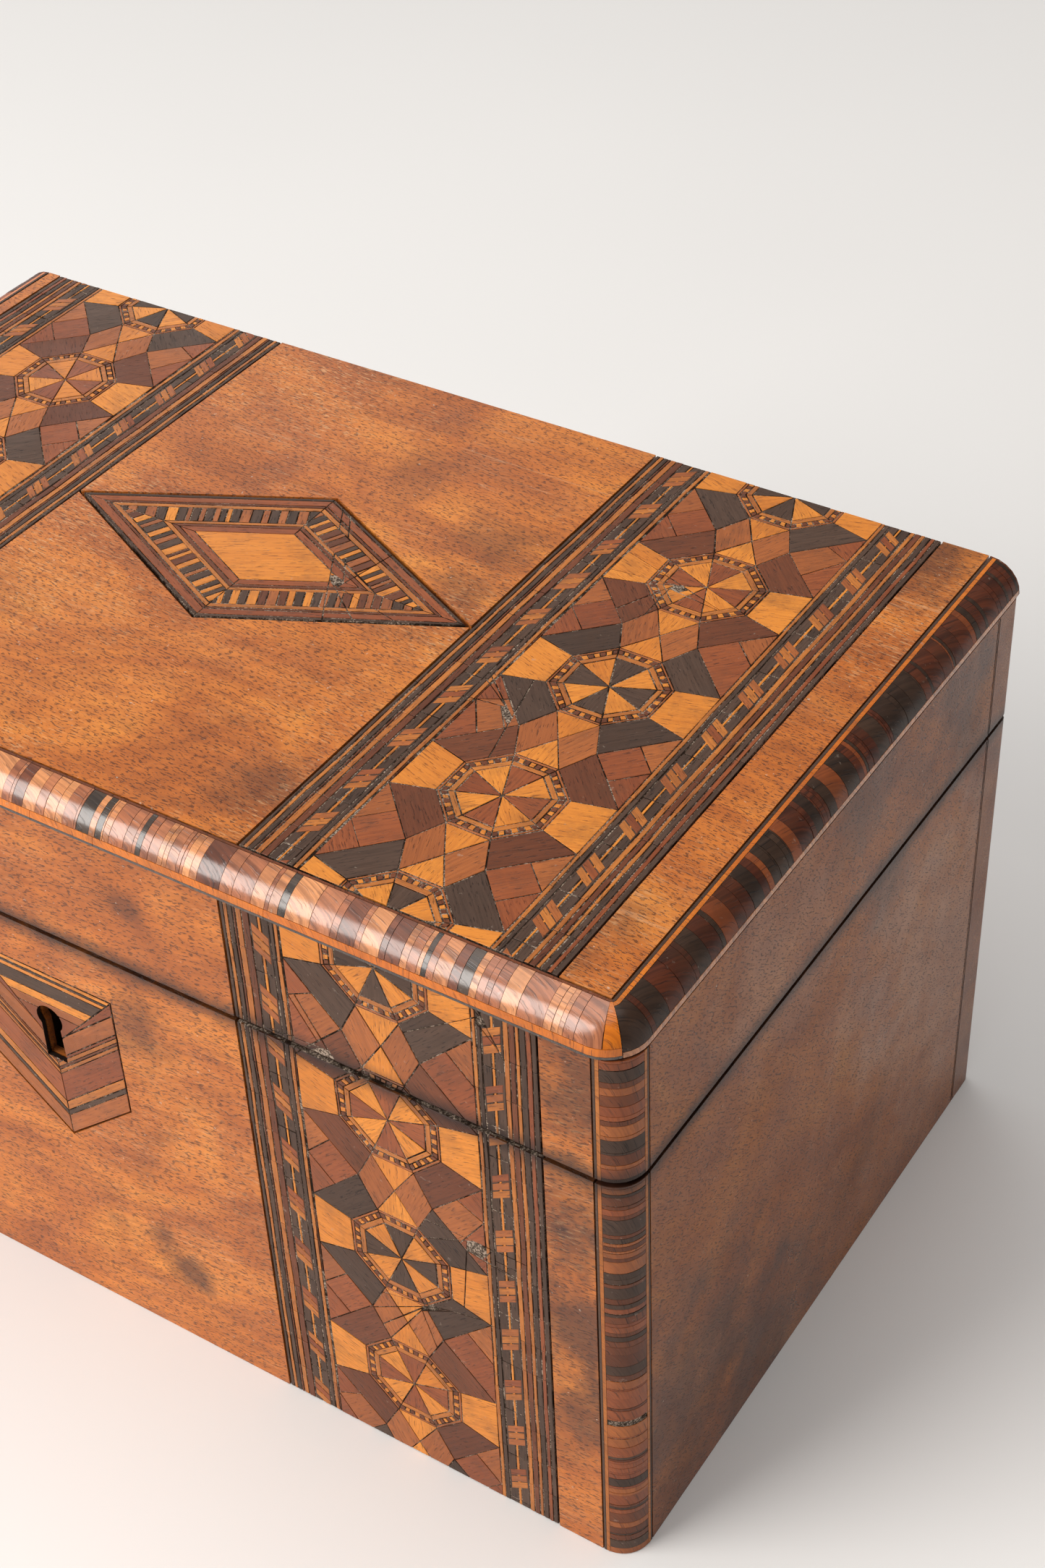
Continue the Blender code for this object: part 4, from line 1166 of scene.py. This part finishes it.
class Edge:
    """The path of one edge moulding: (centre of turn, outward angle, proud) at a distance along it."""

    def __init__(self, stations):
        self.stations = stations
        self.at = [0.0]
        for a, b in zip(stations, stations[1:]):
            self.at.append(self.at[-1] + math.dist(self.spot(a), self.spot(b)))
        self.length = self.at[-1]

    @staticmethod
    def spot(station):
        """Where lengths are measured: half-way down the quarter-round."""
        (x, y), angle, _ = station
        reach = TURN_R - EDGE_R / 2
        return (x + reach * math.cos(angle), y + reach * math.sin(angle))

    def station(self, s):
        for i in range(len(self.at) - 1):
            if s <= self.at[i + 1] or i == len(self.at) - 2:
                t = (s - self.at[i]) / (self.at[i + 1] - self.at[i])
                a, b = self.stations[i], self.stations[i + 1]
                centre = between(a[0], b[0], t)
                return centre, a[1] + (b[1] - a[1]) * t, a[2] + (b[2] - a[2]) * t

    def section(self, s, start, end, bottom, lift=0.0, thick=SHELL, steps=7):
        """Outer and inner points of the quarter-round between two turns of it, 0 below and 1 on top."""
        (x, y), angle, proud = self.station(s)
        outer, inner = [], []
        for i in range(steps):
            turn = math.pi / 2 * (start + (end - start) * i / (steps - 1))
            for ring, radius_out, radius_up in (
                (outer, EDGE_R + proud + lift, EDGE_R + lift),
                (inner, EDGE_R - thick, EDGE_R - thick),
            ):
                depth = EDGE_R - radius_out * math.cos(turn)
                reach = TURN_R - depth
                height = bottom + radius_up * math.sin(turn)
                ring.append((x + reach * math.cos(angle), y + reach * math.sin(angle), height))
        return outer, inner

    def inner_stops(self, s0, s1):
        return [s0] + [s for s in self.at if s0 + 0.2 * MM < s < s1 - 0.2 * MM] + [s1]


def bar_widths(total, smallest, largest):
    """Uneven widths that fill a length."""
    at = 0.0
    while at < total:
        width = chance.uniform(smallest, largest)
        if chance.random() < 0.35:
            width *= 0.45
        end = min(total, at + width)
        if total - end < smallest * 0.5:
            end = total
        yield at, end
        at = end


def lay_moulding(name, node, edge, mix, lines, cap=0.0, flip=False):
    """lines are (start, end, wood) turns of the quarter-round; bars of mix fill what they leave.

    cap is the length of the plain end at the back. Without one, the moulding ends in a mitre.
    """
    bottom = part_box(node)[0].z
    pieces = Veneers(name)

    def add(s0, s1, start, end, wood, lift=0.0, thick=SHELL):
        stations = [edge.section(s, start, end, bottom, lift, thick) for s in edge.inner_stops(s0, s1)]
        if flip:
            stations = stations[::-1]
        shell_piece(pieces, stations, wood)

    length = edge.length - cap
    add(0, length, 0.0, 1.0, "glue", -GLUE_DOWN, EDGE_R - CORE_GAP)
    if cap:
        add(length, edge.length, 0.0, 1.0, "kingwood", 0.0, EDGE_R - CORE_GAP)
    for s0, s1 in bar_widths(length, *LINE_LENGTHS):
        for start, end, wood in lines:
            add(s0 + SLIT, s1 - SLIT, start, end, wood, 0.02 * MM)
    first = max(end for start, end, _ in lines if end < 0.5) + LINE_GAP
    last = min(start for start, end, _ in lines if start > 0.5) - LINE_GAP
    for s0, s1 in bar_widths(length, *BAR_WIDTHS):
        lift = chance.uniform(-0.05, 0.03) * MM
        at_mitre = not cap and s0 > length - MITRE
        wood = "orange_line" if at_mitre else chance.choice(mix)
        add(s0 + SLIT, s1 - SLIT, first, last, wood, lift)
    smooth(pieces.stand_in(node, "lid", "crossbanding"))


def mouldings():
    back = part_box("lid_top_board")[1].y
    corner_x, corner_y = SIDE_X - TURN_R, FRONT_Y + TURN_R
    turn = math.pi / 4
    right = [
        ((corner_x, corner_y), -math.pi / 2 + turn * i / 4, EDGE_PROUD * (1 - i / 4)) for i in range(5)
    ]
    left = [((-c[0], c[1]), math.pi - a - 2 * math.pi, p) for c, a, p in reversed(right)]
    lay_moulding("moulding_front", "lid_moulding_front", Edge(left + right), FRONT_MIX, FRONT_LINES)
    path = [((corner_x, corner_y), -turn + turn * i / 4, 0.0) for i in range(5)]
    path.append(((corner_x, back), 0.0, 0.0))
    mirrored = [((-c[0], c[1]), math.pi - a, p) for c, a, p in path]
    for name, edge, flip in (("right", Edge(path), False), ("left", Edge(mirrored), True)):
        node = f"lid_moulding_{name}"
        lay_moulding(f"moulding_{name}", node, edge, SIDE_MIX, SIDE_LINES, BACK_CAP, flip)


def post_profile():
    """Points round the right-hand corner post in plan, and the distance along them."""
    x, y = SIDE_X - CORNER_R, FRONT_Y + CORNER_R
    round_steps = 12
    path = [(x - CORNER_FLAT, FRONT_Y), (x, FRONT_Y)]
    for i in range(1, round_steps + 1):
        angle = -math.pi / 2 + math.pi / 2 * i / round_steps
        path.append((x + CORNER_R * math.cos(angle), y + CORNER_R * math.sin(angle)))
    path.append((SIDE_X, y + CORNER_FLAT))
    at = [0.0]
    for a, b in zip(path, path[1:]):
        at.append(at[-1] + math.dist(a, b))
    return path, at


def post_points(path, at, s0, s1, lift, z, thick, steps=9):
    """Outer points from s0 to s1 round the post, and the inner ones below them."""
    centre = (SIDE_X - CORNER_R, FRONT_Y + CORNER_R)
    outer, inner = [], []
    for n in range(steps):
        s = s0 + (s1 - s0) * n / (steps - 1)
        i = max(k for k in range(len(at) - 1) if at[k] <= s + 1e-9)
        x, y = between(path[i], path[i + 1], (s - at[i]) / (at[i + 1] - at[i]))
        away = Vector((x - centre[0], y - centre[1]))
        for ring, grown in ((outer, lift), (inner, -thick)):
            scale = 1 + grown / away.length
            ring.append((centre[0] + away.x * scale, centre[1] + away.y * scale, z))
    return outer, inner


def mirrored_ring(ring):
    return [(-x, y, z) for x, y, z in reversed(ring)]


def corner_post(prefix, name, side, body):
    node = f"{prefix}_corner_{name}"
    low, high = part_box(node)
    path, at = post_profile()
    length = at[-1]
    pieces = Veneers(f"post_{prefix}_{name}")

    def add(s0, s1, z0, z1, wood, lift=0.0, thick=SHELL):
        stations = []
        for z in (z0, z1):
            rings = post_points(path, at, s0, s1, lift, z, thick)
            stations.append(tuple(mirrored_ring(ring) for ring in rings) if side < 0 else rings)
        shell_piece(pieces, stations, wood)

    core_end = length - POST_CORE_EDGE
    add(POST_CORE_EDGE, core_end, low.z + 0.2 * MM, high.z - 0.2 * MM, "glue", -GLUE_DOWN)
    add(POST_CORE_EDGE, core_end, low.z, high.z, "kingwood", -0.14 * MM, CORNER_R - CORE_GAP)
    line_start, line_end = POST_LINE
    for s0, s1, wood in (
        (0.0, POST_EBONY, "ebony"),
        (line_start, line_end, "satin_line"),
        (length - line_end, length - line_start, "satin_line"),
        (length - POST_EBONY, length, "ebony"),
    ):
        add(s0, s1, low.z + SLIT, high.z - SLIT, wood, 0.01 * MM)
    for z0, z1 in bar_widths(high.z - low.z, *POST_BAR_WIDTHS):
        lift = chance.uniform(-0.05, 0.02) * MM
        wood = chance.choice(POST_MIX)
        if side > 0 and z0 < POST_DENT < z1:
            lift, wood = -0.35 * MM, "ebony"
        crack = 0.16 * MM if chance.random() < 0.12 else SLIT
        add(POST_BARS, length - POST_BARS, low.z + z0 + SLIT, low.z + z1 - crack, wood, lift)
    smooth(pieces.stand_in(node, body, "crossbanding"))


def corner_posts():
    for prefix, body in (("body", "case"), ("lid", "lid")):
        for name, side in (("left", -1), ("right", 1)):
            corner_post(prefix, name, side, body)


def fill_side_joints():
    """Closes the fine joint between each side wall and the back, as wax and polish have."""
    faces = [(3, 2, 1, 0), (4, 5, 6, 7), (0, 1, 5, 4), (1, 2, 6, 5), (2, 3, 7, 6), (3, 0, 4, 7)]
    for prefix, back, body in (("body", "body_back_wall", "case"), ("lid", "lid_back_rail", "lid")):
        for name, side in (("left", -1), ("right", 1)):
            low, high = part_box(f"{prefix}_{name}_wall")
            start, end = high.y - FILL_LAP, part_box(back)[0].y + FILL_LAP
            x0, x1 = sorted((side * (SIDE_X - FILL_DEPTH), side * SIDE_X))
            heights = (low.z + FILL_LAP, high.z - FILL_LAP)
            corners = [(x, y, z) for z in heights for x, y in upright(x0, x1, start, end)]
            obj = new_object(f"joint_fill_{prefix}_{name}", corners, faces, ["walnut_side_painted_shade"])
            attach(obj, body)


def smooth(obj):
    obj.data.shade_smooth()
    obj.data.set_sharp_from_angle(angle=math.radians(35))


# --- carried-over nodes

FRONTS = ("body_front_wall", "lid_front_rail")
SIDES = ("body_left_wall", "body_right_wall", "lid_left_wall", "lid_right_wall")
BACKS = ("body_back_wall", "lid_back_rail")
LINERS = ("front_liner", "back_liner", "left_liner", "right_liner")
INNER_LIDS = ("left_inner_lid", "right_inner_lid")

NODE_MATERIALS = {
    "walnut_top": ("lid_top_board",),
    "walnut_front": FRONTS,
    "walnut_side_painted_shade": SIDES,
    "walnut_back": BACKS,
    "pine": ("base_board",),
    "mahogany": (*LINERS, "divider", "left_lid_rest", "right_lid_rest", *INNER_LIDS),
    "turned_boxwood": ("left_knob", "right_knob"),
    "foil": ("left_foil_lining", "right_foil_lining"),
    "velvet": ("lid_lining",),
    # Lock case: painted shade, seen through the keyhole
    "lock_brass_painted_shade": ("lock_case",),
}

# Widths of the eased edges, in millimetres
EASED = {
    0.35: ("lid_top_board",),
    0.3: (*FRONTS, *SIDES, *BACKS),
    0.4: LINERS,
    0.5: ("divider", *INNER_LIDS),
    0.6: ("lid_lining",),
}
METAL_EASE = 0.12
WOOD_EASE = 0.25


def by_node(table):
    return {node: value for value, nodes in table.items() for node in nodes}


def fitting_metal(name):
    """Steel for the bolt and the hinge screws, brass for every other fitting."""
    steel = name == "lock_bolt" or "hinge_body_screw" in name or "hinge_lid_screw" in name
    return "steel" if steel else "brass"


def dress_nodes():
    """Gives each CAD node its material and eased edges."""
    chosen, widths = by_node(NODE_MATERIALS), by_node(EASED)
    for name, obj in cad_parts.items():
        finish_name = chosen.get(name) or fitting_metal(name)
        obj.data.materials.clear()
        obj.data.materials.append(MATERIALS[finish_name])
        usual = METAL_EASE if finish_name in ("brass", "steel") else WOOD_EASE
        round_edges(obj, widths.get(name, usual))


def round_edges(obj, width):
    bevel = obj.modifiers.new("eased edges", "BEVEL")
    bevel.width = width * MM
    bevel.segments = 2
    bevel.limit_method = "ANGLE"
    bevel.angle_limit = math.radians(40)
    bevel.use_clamp_overlap = True
    bevel.harden_normals = False


# --- stage


def stage():
    """A pale floor, four soft lights, and a studio that is darker to the right."""
    size = FLOOR_HALF
    corners = [(x, y, 0) for x, y in upright(-size, size, -size, size)]
    floor = new_object("floor", corners, [(0, 1, 2, 3)], ["floor"])
    floor.location.z = -0.0001
    area_light("key", (-0.85, -1.2, 1.0), 1.1, 29.5, (1.0, 0.965, 0.925))
    area_light("overhead", (0.0, -0.05, 1.6), 1.3, 11.0, (1.0, 0.98, 0.955))
    area_light("back_left", (-1.9, 1.8, 1.2), 1.3, 5.0, (1.0, 0.98, 0.955))
    area_light("right_fill", (1.6, 0.2, 0.5), 1.2, 2.0, (1.0, 0.98, 0.96))
    world = bpy.data.worlds.new("studio")
    world.use_nodes = True
    nodes, links = world.node_tree.nodes, world.node_tree.links
    background = nodes["Background"]
    background.inputs["Color"].default_value = (0.96, 0.95, 0.94, 1.0)
    direction = nodes.new("ShaderNodeTexCoord")
    parts = nodes.new("ShaderNodeSeparateXYZ")
    fade = nodes.new("ShaderNodeMapRange")
    for key, value in (("From Min", -0.5), ("From Max", 0.7), ("To Min", 0.50), ("To Max", 0.15)):
        fade.inputs[key].default_value = value
    links.new(direction.outputs["Generated"], parts.inputs[0])
    links.new(parts.outputs["X"], fade.inputs["Value"])
    links.new(fade.outputs["Result"], background.inputs["Strength"])
    bpy.context.scene.world = world


def area_light(name, place, size, power, colour):
    light = bpy.data.lights.new(name, "AREA")
    light.shape = "SQUARE"
    light.size = size
    light.energy = power
    light.color = colour
    obj = bpy.data.objects.new(name, light)
    obj.location = place
    obj.rotation_euler = (Vector((0, 0, 0.05)) - Vector(place)).to_track_quat("-Z", "Y").to_euler()
    bpy.context.scene.collection.objects.link(obj)


def camera():
    azimuth, elevation, roll = (
        math.radians(a) for a in (CAMERA_AZIMUTH, CAMERA_ELEVATION, CAMERA_ROLL)
    )
    level = math.cos(elevation)
    back = Vector((math.sin(azimuth) * level, -math.cos(azimuth) * level, math.sin(elevation)))
    right = Vector((math.cos(azimuth), math.sin(azimuth), 0))
    up = back.cross(right)
    tilted_right = right * math.cos(roll) + up * math.sin(roll)
    tilted_up = up * math.cos(roll) - right * math.sin(roll)
    made = bpy.data.cameras.new("camera")
    made.lens = CAMERA_LENS
    made.sensor_width = 36
    made.clip_start = 0.02
    obj = bpy.data.objects.new("camera", made)
    turn = Matrix((tilted_right, tilted_up, back)).transposed().to_4x4()
    obj.matrix_world = Matrix.Translation(Vector(CAMERA_TARGET) + back * CAMERA_DISTANCE) @ turn
    bpy.context.scene.collection.objects.link(obj)
    bpy.context.scene.camera = obj


dress_nodes()
parquetry_bands()
lozenge()
escutcheon()
mouldings()
corner_posts()
fill_side_joints()
stage()
camera()
bpy.context.scene.view_settings.view_transform = "Standard"
